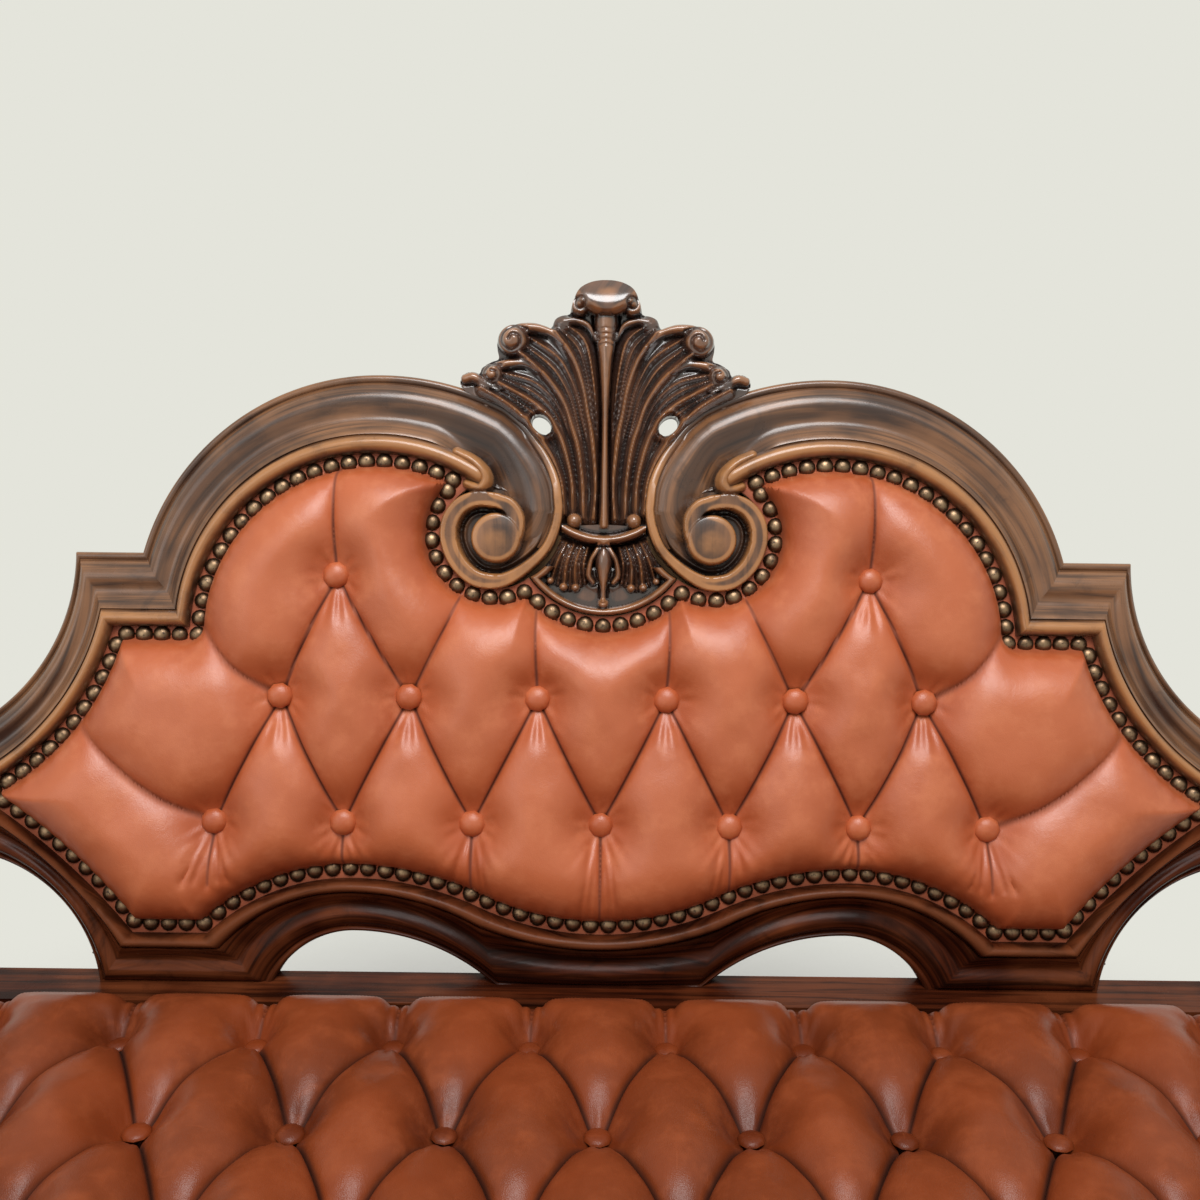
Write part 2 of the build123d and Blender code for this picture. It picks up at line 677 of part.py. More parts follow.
def pleat_cut(a, b, top, depth, half_width):
    # A valley of two slopes along the line from a to b.
    length = hypot(b[0] - a[0], b[1] - a[1])
    section = polygon([(-half_width, top + 1), (-half_width * 0.45, top - depth * 0.35), (0, top - depth),
                       (half_width * 0.45, top - depth * 0.35), (half_width, top + 1)])
    plane = Plane((a[0], a[1], 0), x_dir=(-(b[1] - a[1]) / length, (b[0] - a[0]) / length, 0),
                  z_dir=((b[0] - a[0]) / length, (b[1] - a[1]) / length, 0))
    cut = plane * prism(section, 0, length)
    return cut


def tuft_dimple(place, top, seat):
    wide = BUTTON_DIAMETER * 1.6
    cone = Cone(BUTTON_DIAMETER / 2 + 0.6, wide, top - seat + 1,
                align=(Align.CENTER, Align.CENTER, Align.MIN))
    return Pos(place[0], place[1], seat) * cone


def back_board():
    w = FIT
    holes = [ring_hole(p, SCREW_DIAMETER + 2 * PIN_FIT, w) for p in board_screw_places]
    return placed(prism(inset(board_line, -REBATE_WIDTH + FIT), w, BOARD_THICKNESS, holes))


def board_screws():
    # Driven from behind through the board into the rebate's shoulder.
    pointing = Rot(180, 0, 0)
    middle = BOARD_SCREW_HEAD / 2
    head = Pos(0, 0, middle) * Cylinder(SCREW_HEAD_DIAMETER / 2, BOARD_SCREW_HEAD)
    body = pointing * (head + rod(SCREW_DIAMETER, (0, 0, -SCREW_LENGTH), (0, 0, middle)))
    return [Pos(p[0], p[1], 0) * body for p in board_screw_places]


def tack_strip():
    w = BOARD_THICKNESS + FIT
    holes = [ring_hole(p, NAIL_PIN_DIAMETER + 2 * PIN_FIT, w) for p in nail_places]
    return placed(prism(inset(sight, FIT), w, STRIP_TOP, [outline(inset(sight, STRIP_WIDTH), w), *holes]))


def back_foam():
    w = BOARD_THICKNESS + FIT
    holes = [ring_hole(p, SHANK_DIAMETER + 2 * PIN_FIT, w) for p in back_button_places]
    return placed(prism(inset(sight, FOAM_BORDER), w, BACK_FOAM_TOP, holes))


def back_leather():
    w = STRIP_TOP + FIT
    holes = [ring_hole(p, NAIL_PIN_DIAMETER + 2 * PIN_FIT, w) for p in nail_places]
    border = prism(inset(sight, 2 * FIT), w, STRIP_TOP + HIDE, holes)
    body = layered(sight, [(STRIP_WIDTH - 2, w), (STRIP_WIDTH, BACK_EDGE - 8), (STRIP_WIDTH + 5, BACK_EDGE),
                           (STRIP_WIDTH + 13, BACK_SHOULDER), (STRIP_WIDTH + 22, BACK_CROWN)])
    cuts = [pleat_cut(a, b, BACK_CROWN, BACK_CROWN - BACK_BUTTON_SEAT - 2, PLEAT_HALF_WIDTH)
            for a, b in back_pleats()]
    cuts += [tuft_dimple(p, BACK_CROWN, BACK_BUTTON_SEAT) for p in back_button_places]
    keep = prism(inset(sight, STRIP_WIDTH - 4), 0, BACK_CROWN + 5)
    room = prism(inset(sight, FOAM_BORDER - FIT), 0, BACK_FOAM_TOP + FIT)
    shanks = [rod(SHANK_DIAMETER + 2 * PIN_FIT, (p[0], p[1], 0), (p[0], p[1], BACK_CROWN))
              for p in back_button_places]
    body = body - cuts
    body = body & keep
    return placed(body + border - [room, *shanks])


def back_buttons():
    one = button()
    return group([placed(Pos(p[0], p[1], BACK_BUTTON_SEAT + FIT) * one) for p in back_button_places])


def back_nails():
    one = nail()
    return group([placed(Pos(p[0], p[1], STRIP_TOP + HIDE + 0.05) * one) for p in nail_places])


def outside_back():
    cover = inset(board_line, -REBATE_WIDTH - COVER_LAP)
    holes = [ring_hole(p, SCREW_HEAD_DIAMETER + 4 * PIN_FIT, -OUTSIDE_HIDE) for p in board_screw_places]
    return placed(prism(cover, -OUTSIDE_HIDE, -0.05, holes))


# Crest and cup

def crest_shell():
    tail_u, tail_v = NECK_U + 36, ARCH_TOP_V - 3
    neck_curve = bulged((neck[0] - 0.6, neck[1] + FIT), (scroll_back[0] - FIT, scroll_back[1]), -NECK_BULGE)
    knob_v = CREST_TOP_V - 26
    right = [
        straight((0.0, CREST_BASE_V), (scroll_back[0] - 5 * FIT, CREST_BASE_V + 4)),
        straight((scroll_back[0] - 5 * FIT, CREST_BASE_V + 4), neck_curve[2]),
        back_way(neck_curve),
        bulged(neck_curve[0], (tail_u, tail_v + 2), 3.0),
        bulged((tail_u, tail_v + 2), (CREST_SMALL_CURL_U + 8, CREST_SMALL_CURL_V + 2), -4.0),
        bulged((CREST_SMALL_CURL_U + 8, CREST_SMALL_CURL_V + 2), (CREST_CURL_U + 11, CREST_CURL_V - 9), -7.0),
        bulged((CREST_CURL_U + 11, CREST_CURL_V - 9), (CREST_CURL_U - 14, CREST_CURL_V + 11), -15.0),
        bulged((CREST_CURL_U - 14, CREST_CURL_V + 11), (CREST_KNOB_HALF + 16, knob_v - 10), 3.0),
        bulged((CREST_KNOB_HALF + 16, knob_v - 10), (CREST_KNOB_HALF, knob_v + 2), -7.0),
        bulged((CREST_KNOB_HALF, knob_v + 2), (0.0, CREST_TOP_V), -8.0),
    ]
    chain = right + [flipped(back_way(curve)) for curve in reversed(right)]
    body = prism(chain, CREST_REAR, CREST_FRONT)
    for sign in (-1, 1):
        body += rod(2 * CREST_CURL_RADIUS, (sign * CREST_CURL_U, CREST_CURL_V, CREST_REAR),
                    (sign * CREST_CURL_U, CREST_CURL_V, CREST_RIB + 3))
        body += rod(2 * CREST_SMALL_CURL_RADIUS, (sign * CREST_SMALL_CURL_U, CREST_SMALL_CURL_V, CREST_REAR),
                    (sign * CREST_SMALL_CURL_U, CREST_SMALL_CURL_V, CREST_RIB - 2))
    # Ribs of the shell fan out from its foot.
    fan = (0.0, CREST_BASE_V + 8)
    for k in range(-CREST_FLUTES + 1, CREST_FLUTES):
        angle = radians(90 - k * CREST_FAN_STEP)
        reach = CREST_FAN_REACH - CREST_FAN_DROP * abs(k)
        top = (fan[0] + reach * cos(angle), fan[1] + reach * sin(angle))
        base = lerp(fan, top, 0.32)
        way = Vector(top[0] - base[0], top[1] - base[1], 0)
        rib = Plane((base[0], base[1], CREST_FRONT - 2), z_dir=way) * Cone(
            3.2, 8.0, way.length, align=(Align.CENTER, Align.CENTER, Align.MIN))
        body += rib
    for u in (-CREST_HOLE_U, CREST_HOLE_U):
        body -= rod(2 * CREST_HOLE_RADIUS, (u, CREST_HOLE_V, 0), (u, CREST_HOLE_V, CREST_RIB))
    knob = Pos(0, CREST_TOP_V - CREST_KNOB_RADIUS - 1, CREST_FRONT - 2) * Sphere(CREST_KNOB_RADIUS)
    return placed(body + knob - crest_dowel_rooms)


def crest_dowels(room=0.0):
    # Pins from the crest's shoulders down into the arches.
    reach = DOWEL_LENGTH / 2 - 6 + room
    spots = [(sign * (NECK_U + 16), NECK_V + 14) for sign in (-1, 1)]
    return [rod(DOWEL_DIAMETER + 2 * room, (u, v - reach, DOWEL_W), (u, v + reach * 0.55, DOWEL_W))
            for u, v in spots]


crest_dowel_rooms = crest_dowels(PIN_FIT)


def crest_cup():
    # Its sides keep clear of the scrolls' inner curves.
    centre = round_centre(throat_run)
    radius = hypot(cup_joint[0] - centre[0], cup_joint[1] - centre[1]) + 2 * FIT
    joint_angle = degrees(atan2(cup_joint[1] - centre[1], cup_joint[0] - centre[0])) % 360
    top_v = CREST_BASE_V - FIT
    top_angle = 180 - degrees(asin((top_v - centre[1]) / radius))
    side = turned(centre, radius, joint_angle, top_angle)
    right = [level(cup_bottom, side[0]), side, straight(side[2], (0.0, top_v))]
    chain = right + [flipped(back_way(curve)) for curve in reversed(right)]
    body = prism(chain, BOARD_THICKNESS + 2 * FIT, CUP_FRONT)
    rim = prism(chain, CUP_FRONT - 1, CUP_FRONT + CUP_RIM_RISE)
    rim -= prism(inset(chain, CUP_RIM_WIDTH), CUP_FRONT - 2, CUP_FRONT + CUP_RIM_RISE + 1)
    drop = Pos(0, (CUP_BOTTOM_V + CREST_BASE_V) / 2 - 6, CUP_FRONT) * Sphere(CUP_DROP_RADIUS)
    discs = [Pos(sign * SCROLL_U, SCROLL_V, 0) * Cylinder(SCROLL_RADIUS + FIT, 4 * CUP_FRONT)
             for sign in (-1, 1)]
    return placed(body + rim + drop - [*discs, *pilot_holes])


# Seat frame

rear_face = -REAR_RAIL_SETBACK
rear_rail_front = rear_face - RAIL_THICKNESS
front_rail_back = -SEAT_FRONT + RAIL_THICKNESS
leg_back = -SEAT_FRONT + LEG_BLOCK
leg_outer = PANEL_HALF + POST_WIDTH - 1
leg_inner = leg_outer - LEG_BLOCK
side_outer = leg_outer - SIDE_RAIL_SETBACK
side_inner = side_outer - SIDE_RAIL_THICKNESS
post_front = POST_PROUD - POST_DEPTH
tenon_low = RAIL_BOTTOM + (RAIL_TOP - RAIL_BOTTOM - TENON_HEIGHT) / 2


def tenon_x(x_face, sign, y_mid, length, room=0.0):
    # Runs across the sofa, from a rail's end into a post.
    a, b = x_face - sign * 1, x_face + sign * (length + room)
    half = TENON_THICKNESS / 2 + room
    high = tenon_low + TENON_HEIGHT + room
    return box(min(a, b), max(a, b), y_mid - half, y_mid + half, tenon_low - room, high)


def tenon_y(x_mid, y_face, sign, room=0.0):
    a, b = y_face - sign * 1, y_face + sign * (TENON_LENGTH + room)
    half = TENON_THICKNESS / 2 + room
    high = tenon_low + TENON_HEIGHT + room
    return box(x_mid - half, x_mid + half, min(a, b), max(a, b), tenon_low - room, high)


front_mid_y = -SEAT_FRONT + RAIL_THICKNESS / 2
rear_mid_y = rear_face - RAIL_THICKNESS / 2
side_mid_x = (side_inner + side_outer) / 2
brace_low = RAIL_BOTTOM + BRACE_LIFT


def brace_tenons(room=0.0):
    half = BRACE_WIDTH / 4 + room
    low, high = brace_low + BRACE_SHOULDER - room, brace_low + BRACE_HEIGHT - BRACE_SHOULDER + room
    reach = BRACE_TENON + room
    return [box(-half, half, front_rail_back - reach, front_rail_back + 1, low, high),
            box(-half, half, rear_rail_front - 1, rear_rail_front + reach, low, high)]


def front_rail():
    end = leg_inner
    lower = [
        straight((-end, RAIL_TOP), (-end, RAIL_BOTTOM)),
        bulged((-end, RAIL_BOTTOM), (-end * 0.5, RAIL_BOTTOM + 8), 10.0),
        bulged((-end * 0.5, RAIL_BOTTOM + 8), (0.0, RAIL_BOTTOM - APRON_DROP), -16.0),
        bulged((0.0, RAIL_BOTTOM - APRON_DROP), (end * 0.5, RAIL_BOTTOM + 8), -16.0),
        bulged((end * 0.5, RAIL_BOTTOM + 8), (end, RAIL_BOTTOM), 10.0),
        straight((end, RAIL_BOTTOM), (end, RAIL_TOP)),
        straight((end, RAIL_TOP), (-end, RAIL_TOP)),
    ]
    body = Plane.XZ * prism(lower, SEAT_FRONT - RAIL_THICKNESS, SEAT_FRONT)
    for sign in (-1, 1):
        body += tenon_x(sign * end, sign, front_mid_y, TENON_LENGTH)
    pins = [rod(NAIL_PIN_DIAMETER + 2 * PIN_FIT, (x, -SEAT_FRONT - 1, nail_row_z),
                (x, -SEAT_FRONT + NAIL_PIN_LENGTH, nail_row_z)) for x in front_nail_places if abs(x) < end]
    return body - [*brace_tenons(PIN_FIT), *pins, *block_screw_rooms]


nail_row_z = RAIL_TOP - SKIRT_DROP / 2
front_nail_count = int((2 * SEAT_FRONT_HALF - NAIL_DIAMETER) / NAIL_PITCH)
front_nail_places = [(i - front_nail_count / 2) * NAIL_PITCH for i in range(front_nail_count + 1)]


def rear_rail():
    end = PANEL_HALF
    body = box(-end, end, rear_rail_front, rear_face, RAIL_BOTTOM, LEDGE_TOP - LEDGE_THICKNESS)
    for sign in (-1, 1):
        body += tenon_x(sign * end, sign, rear_mid_y, REAR_TENON_LENGTH)
    return body - [*brace_tenons(PIN_FIT), *block_screw_rooms]


def ledge_board():
    body = box(-PANEL_HALF, PANEL_HALF, -LEDGE_DEPTH, 0, LEDGE_TOP - LEDGE_THICKNESS, LEDGE_TOP)
    return body - foot_rooms


def side_rail():
    body = box(side_inner, side_outer, leg_back, post_front, RAIL_BOTTOM, RAIL_TOP)
    body += tenon_y(side_mid_x, leg_back, -1)
    body += tenon_y(side_mid_x, post_front, 1)
    return body - [stump_tenon(PIN_FIT), *block_screw_rooms]


def seat_brace():
    half = BRACE_WIDTH / 2
    body = box(-half, half, front_rail_back, rear_rail_front, brace_low, brace_low + BRACE_HEIGHT)
    return body + brace_tenons()


def seat_cleats():
    low = RAIL_TOP - FIT - CLEAT_HEIGHT
    front, rear = leg_back + CLEAT_FRONT_GAP, post_front - CLEAT_REAR_GAP
    right = box(side_inner - CLEAT_WIDTH, side_inner, front, rear, low, RAIL_TOP - FIT)
    return group(both(right))


block_low = RAIL_BOTTOM + BLOCK_LIFT
block_mid = block_low + BLOCK_HEIGHT / 2


def corner_block(front):
    # A triangle in plan that ties an end rail to a side rail, notched round the leg.
    y, sign = (front_rail_back, 1) if front else (rear_rail_front, -1)
    reach = BLOCK_LEG + (side_inner - leg_inner if front else 0)
    corner = (side_inner, y)
    points = [corner, (side_inner, y + sign * BLOCK_LEG), (side_inner - reach, y)]
    points = points if front else points[::-1]
    return prism(polygon(points), block_low, block_low + BLOCK_HEIGHT)


def block_screw_frames():
    frames = []
    for x_sign in (-1, 1):
        for y, y_sign in ((front_rail_back, 1), (rear_rail_front, -1)):
            x = x_sign * (side_inner - BLOCK_LEG * 0.5 - (10 if y_sign > 0 else 0))
            depth = y + y_sign * 10
            frames.append(Plane((x, depth, block_mid), z_dir=(0, y_sign, 0)))
            frames.append(Plane((x_sign * (side_inner - 10), y + y_sign * BLOCK_LEG * 0.62, block_mid),
                                z_dir=(-x_sign, 0, 0)))
    return frames


def bore_out():
    # Lets a driver reach the screw's head through the block.
    return screw_room() + rod(SCREW_HEAD_DIAMETER + 2 * PIN_FIT, (0, 0, -1), (0, 0, BLOCK_LEG))


block_screw_rooms = [frame * bore_out() for frame in block_screw_frames()]


def corner_blocks():
    leg_room = box(leg_inner - FIT, leg_outer, -SEAT_FRONT, leg_back + FIT, 0, RAIL_TOP)
    post_room = box(PANEL_HALF - FIT, PANEL_HALF + POST_WIDTH, post_front - FIT, LEDGE_DEPTH, 0, RAIL_TOP)
    pieces = []
    for front in (True, False):
        right = corner_block(front) - [leg_room, post_room]
        pieces += both(right)
    return group([piece - block_screw_rooms for piece in pieces])


def block_screws():
    one = screw()
    return group([frame * one for frame in block_screw_frames()])


# Springs and seat upholstery

def spring():
    # One length of zigzag wire, front to back, centred on x = 0.
    pitch = 2 * SPRING_BEND
    start = -SPRING_BENDS * pitch / 2
    edges = [edge(straight((-SPRING_RUN / 2, start), (SPRING_RUN / 2, start)))]
    side = 1
    for i in range(SPRING_BENDS):
        y = start + i * pitch
        a, b = (side * SPRING_RUN / 2, y), (side * SPRING_RUN / 2, y + pitch)
        edges.append(edge((a, (a[0] + side * SPRING_BEND, y + SPRING_BEND), b)))
        edges.append(edge(straight(b, (-b[0], b[1]))))
        side = -side
    path = Wire(edges)
    section = Plane(path @ 0, z_dir=path % 0) * Circle(SPRING_WIRE / 2)
    return sweep(section, path)


spring_mid_y = (front_rail_back + rear_rail_front) / 2
spring_places = [(i - (SPRING_COUNT - 1) / 2) * SPRING_PITCH for i in range(SPRING_COUNT)]


def seat_springs():
    one = spring()
    return group([Pos(x, spring_mid_y, SPRING_Z) * one for x in spring_places])


def spring_clips():
    # A steel tab on the rail's inner face holds each end loop of the wire.
    last = SPRING_BENDS * SPRING_BEND
    pieces = []
    for x in spring_places:
        for face, sign in ((front_rail_back, 1), (rear_rail_front, -1)):
            wire_y = spring_mid_y - sign * last
            tip_y = wire_y + sign * CLIP_REACH
            y0, y1 = sorted((face, tip_y))
            pieces.append(box(x - CLIP_WIDTH / 2, x + CLIP_WIDTH / 2, y0, y1, SPRING_Z - CLIP_HEIGHT / 2,
                              SPRING_Z + CLIP_HEIGHT / 2))
    return pieces


def clips_round_wire():
    wide = spring_room()
    blocks = spring_clips()
    fitted = []
    for i, x in enumerate(spring_places):
        room = Pos(x, spring_mid_y, SPRING_Z) * wide
        fitted += [block - room for block in blocks[2 * i:2 * i + 2]]
    return group(fitted)


def spring_room():
    # Clear space round the wire's two ends, where the clips sit.
    last = SPRING_BENDS * SPRING_BEND
    rooms = []
    for y in (-last, last):
        rooms.append(rod(SPRING_WIRE + 2 * PIN_FIT, (-CLIP_WIDTH, y, 0), (CLIP_WIDTH, y, 0)))
    return rooms[0] + rooms[1]


seat_rear_y = -LEDGE_DEPTH - FIT - SEAT_BULGE
seat_plan = polygon([(-SEAT_FRONT_HALF, -SEAT_FRONT), (SEAT_FRONT_HALF, -SEAT_FRONT),
                     (SEAT_FRONT_HALF, -ARM_NOTCH), (SEAT_HALF, -ARM_NOTCH), (SEAT_HALF, seat_rear_y),
                     (-SEAT_HALF, seat_rear_y), (-SEAT_HALF, -ARM_NOTCH), (-SEAT_FRONT_HALF, -ARM_NOTCH)])


def seat_rows():
    rows = []
    for r in range(SEAT_ROWS):
        y = -SEAT_FIRST_ROW - r * SEAT_ROW_PITCH
        if r % 2 == 0:
            rows.append([((i + 0.5) * TUFT_PITCH, y) for i in range(-5, 5)])
        else:
            rows.append([(i * TUFT_PITCH, y) for i in range(-5, 6)])
    return rows


seat_button_rows = seat_rows()
seat_button_places = [p for row in seat_button_rows for p in row]


def seat_pleats():
    pleats = []
    for row, following in zip(seat_button_rows, seat_button_rows[1:]):
        for a in row:
            pleats += [(a, b) for b in following if abs(abs(a[0] - b[0]) - half_pitch) < 1]
    for x, y in seat_button_rows[0]:
        pleats.append(((x, y), (x, -LEDGE_DEPTH + 20)))
    for x, y in seat_button_rows[-1]:
        pleats.append(((x, y), (x, -SEAT_FRONT - 20)))
    for row in seat_button_rows[1::2]:
        for place, sign in ((row[0], -1), (row[-1], 1)):
            pleats.append((place, (sign * (SEAT_FRONT_HALF + 20), place[1])))
    return pleats


def seat_hessian():
    z = RAIL_TOP
    return prism(inset(seat_plan, HESSIAN_INSET), z, z + HESSIAN)


def seat_foam():
    holes = [ring_hole(p, SHANK_DIAMETER + 2 * PIN_FIT, SEAT_FOAM_BOTTOM) for p in seat_button_places]
    return prism(inset(seat_plan, SEAT_FOAM_INSET), SEAT_FOAM_BOTTOM, SEAT_FOAM_TOP, holes)


def seat_leather():
    z = RAIL_TOP + FIT
    swell_z = (z + SEAT_CROWN) / 2 - 14
    body = layered(seat_plan, [(0.5, z), (-SEAT_BULGE + 1, swell_z - 18), (-SEAT_BULGE, swell_z),
                               (0, SEAT_CROWN - 34), (5, SEAT_CROWN - 18), (15, SEAT_CROWN - 7),
                               (30, SEAT_CROWN - 1), (40, SEAT_CROWN)])
    depth = SEAT_CROWN - SEAT_BUTTON_Z - 2
    body -= [pleat_cut(a, b, SEAT_CROWN, depth, PLEAT_HALF_WIDTH) for a, b in seat_pleats()]
    body -= [tuft_dimple(p, SEAT_CROWN, SEAT_BUTTON_Z) for p in seat_button_places]
    hollow = prism(inset(seat_plan, SEAT_FOAM_INSET - FIT), z - 1, SEAT_FOAM_TOP + FIT)
    under = prism(inset(seat_plan, HESSIAN_INSET - 0.5), z - 1, RAIL_TOP + HESSIAN + FIT)
    shanks = [rod(SHANK_DIAMETER + 2 * PIN_FIT, (p[0], p[1], RAIL_TOP), (p[0], p[1], SEAT_CROWN))
              for p in seat_button_places]
    skirt = box(-SEAT_FRONT_HALF, SEAT_FRONT_HALF, -SEAT_FRONT - HIDE, -SEAT_FRONT - 0.1,
                RAIL_TOP - SKIRT_DROP, z + 12)
    skirt -= [rod(NAIL_PIN_DIAMETER + 2 * PIN_FIT, (x, -SEAT_FRONT - 2 * HIDE, nail_row_z),
                  (x, -SEAT_FRONT + 1, nail_row_z)) for x in front_nail_places]
    return body - [hollow, under, *shanks] + skirt


def seat_buttons():
    one = button()
    return group([Pos(p[0], p[1], SEAT_BUTTON_Z + FIT) * one for p in seat_button_places])


def seat_nails():
    one = nail()
    return group([Plane((x, -SEAT_FRONT - HIDE - 0.05, nail_row_z), z_dir=(0, -1, 0)) * one
                  for x in front_nail_places])


def dust_cover():
    z = RAIL_BOTTOM - DUST_COVER
    edge_x = side_outer - 8
    sheet = box(-edge_x, edge_x, front_rail_back + FIT, rear_face - 4, z, RAIL_BOTTOM - 0.05)
    rooms = []
    for sign in (-1, 1):
        xs = sorted((sign * (leg_inner - FIT), sign * 2 * leg_outer))
        rooms.append(box(xs[0], xs[1], -2 * SEAT_FRONT, leg_back + KNEE_REACH, 0, RAIL_TOP))
        xs = sorted((sign * (PANEL_HALF - FIT), sign * 2 * leg_outer))
        rooms.append(box(xs[0], xs[1], post_front - FIT, LEDGE_DEPTH, 0, RAIL_TOP))
    return sheet - rooms


# Posts, legs and arms

def at_panel(v, w):
    # Depth and height of a place on the raked panel.
    rake = radians(BACK_RAKE)
    return (v * sin(rake) - w * cos(rake), LEDGE_TOP + v * cos(rake) + w * sin(rake))


def back_post():
    face = POST_DEPTH - POST_PROUD
    rear_top, front_top = at_panel(POST_TOP_V, -POST_PROUD), at_panel(POST_TOP_V, face)
    rear_low, front_low = at_panel(POST_BEND_V, -POST_PROUD), at_panel(POST_BEND_V, face)
    rear_seat, front_seat = (POST_PROUD, RAIL_BOTTOM), (post_front, RAIL_BOTTOM)
    toe_rear, toe_front = (POST_SPLAY, GLIDE_HEIGHT), (POST_SPLAY - POST_TOE, GLIDE_HEIGHT)
    chain = [
        straight(front_top, front_low),
        straight(front_low, front_seat),
        bulged(front_seat, toe_front, 9.0),
        straight(toe_front, toe_rear),
        bulged(toe_rear, rear_seat, -14.0),
        straight(rear_seat, rear_low),
        straight(rear_low, rear_top),
        bulged(rear_top, front_top, -10.0),
    ]
    body = side_prism(chain, PANEL_HALF, PANEL_HALF + POST_WIDTH)
    rooms = [tenon_x(PANEL_HALF, 1, rear_mid_y, REAR_TENON_LENGTH, PIN_FIT),
             tenon_y(side_mid_x, post_front, 1, PIN_FIT)]
    rooms += [placed(room) for room in dowel_rooms] + [arm_dowel(PIN_FIT), post_glide_room()]
    return body - rooms


def glide_room(x, y):
    return rod(GLIDE_PIN_DIAMETER + 2 * PIN_FIT, (x, y, 0), (x, y, GLIDE_PIN_LENGTH + PIN_FIT))


def post_glide_room():
    return glide_room(PANEL_HALF + POST_WIDTH / 2, POST_SPLAY - POST_TOE / 2)


def leg_section(size, x, y, z):
    return Pos(x, y, z) * RectangleRounded(size, size, size * 0.24)


leg_x = (leg_inner + leg_outer) / 2
leg_y = -SEAT_FRONT + LEG_BLOCK / 2


def front_leg():
    block = box(leg_inner, leg_outer, -SEAT_FRONT, leg_back, RAIL_BOTTOM - 6, RAIL_TOP)
    height = RAIL_BOTTOM - 6
    # Share of the height, width and reach towards the corner
    path = [(1.0, LEG_BLOCK * 0.98, 0.0), (0.84, LEG_BLOCK * 1.02, KNEE_REACH * 0.75),
            (0.66, LEG_BLOCK * 0.82, KNEE_REACH * 0.6), (0.42, ANKLE * 1.12, -KNEE_REACH * 0.25),
            (0.22, ANKLE, -KNEE_REACH * 0.2),
            (0.11, ANKLE * 1.2, TOE_REACH * 0.4), (0.05, TOE_WIDTH, TOE_REACH * 0.85)]
    rise = height - GLIDE_HEIGHT
    sections = [leg_section(size, leg_x + reach, leg_y - reach, GLIDE_HEIGHT + share * rise)
                for share, size, reach in path]
    sections.append(leg_section(TOE_WIDTH * 0.86, leg_x + TOE_REACH, leg_y - TOE_REACH, GLIDE_HEIGHT))
    shape = loft(sections)
    rooms = [tenon_x(leg_inner, 1, front_mid_y, TENON_LENGTH, PIN_FIT),
             tenon_y(side_mid_x, leg_back, -1, PIN_FIT), glide_room(leg_x + TOE_REACH, leg_y - TOE_REACH)]
    rooms += [rod(NAIL_PIN_DIAMETER + 2 * PIN_FIT, (x, -SEAT_FRONT - 1, nail_row_z),
                  (x, -SEAT_FRONT + NAIL_PIN_LENGTH, nail_row_z)) for x in front_nail_places if x > leg_inner]
    return block + shape - rooms


def leg_glides():
    one = Pos(0, 0, (GLIDE_HEIGHT - 0.05) / 2) * Cylinder(GLIDE_DIAMETER / 2, GLIDE_HEIGHT - 0.05)
    one += rod(GLIDE_PIN_DIAMETER, (0, 0, 1), (0, 0, GLIDE_PIN_LENGTH))
    pieces = []
    for sign in (-1, 1):
        pieces.append(Pos(sign * (leg_x + TOE_REACH), leg_y - TOE_REACH, 0) * one)
        pieces.append(Pos(sign * (PANEL_HALF + POST_WIDTH / 2), POST_SPLAY - POST_TOE / 2, 0) * one)
    return group(pieces)


arm_x0 = PANEL_HALF + (POST_WIDTH - ARM_WIDTH) / 2
arm_x1 = arm_x0 + ARM_WIDTH
scroll_top = (-ARM_SCROLL_Y, ARM_SCROLL_Z + ARM_SCROLL_RADIUS)
scroll_low = (-ARM_SCROLL_Y + ARM_SCROLL_RADIUS * 0.6, ARM_SCROLL_Z - ARM_SCROLL_RADIUS * 0.8)
arm_dip_y = -ARM_SCROLL_Y / 2


def arm_chain():
    rear_top, rear_low = (ARM_REAR_Y, ARM_REAR_TOP), (ARM_REAR_Y, ARM_REAR_BOTTOM)
    nose = (-ARM_SCROLL_Y - ARM_SCROLL_RADIUS, ARM_SCROLL_Z)
    slope = cos(radians(45)) * ARM_SCROLL_RADIUS
    return [
        (rear_low, (arm_dip_y, ARM_DIP_BOTTOM), scroll_low)[::-1],
        straight(rear_low, rear_top),
        (rear_top, (arm_dip_y, ARM_DIP_TOP), scroll_top),
        (scroll_top, (-ARM_SCROLL_Y - slope, ARM_SCROLL_Z + slope), nose),
        (nose, (-ARM_SCROLL_Y - slope * 0.55, ARM_SCROLL_Z - slope * 1.17), scroll_low),
    ]


def arm_dowel(room=0.0):
    start = at_panel(horn_mid_v, POST_DEPTH - POST_PROUD + DOWEL_LENGTH / 2 + room)
    end = at_panel(horn_mid_v, POST_DEPTH - POST_PROUD - DOWEL_LENGTH / 2 - room)
    x = PANEL_HALF + POST_WIDTH * 0.62
    return rod(DOWEL_DIAMETER + 2 * room, (x, *start), (x, *end))


def arm_rear_room():
    # Everything behind the post's raked front face.
    face = POST_DEPTH - POST_PROUD
    low, high = -2 * POST_DEPTH, 2 * POST_TOP_V
    points = [at_panel(low, face), at_panel(low, low), at_panel(high, low), at_panel(high, face)]
    return side_prism(polygon(points[::-1]), arm_x0 - 5, arm_x1 + 5)


def stump_dowel(room=0.0):
    x = (arm_x0 + arm_x1) / 2
    y = -(STUMP_FRONT + STUMP_REAR) / 2
    reach = DOWEL_LENGTH / 2 - 4 + room
    z = ARM_SCROLL_Z - ARM_SCROLL_RADIUS
    return rod(DOWEL_DIAMETER + 2 * room, (x, y, z - reach), (x, y, z + reach))


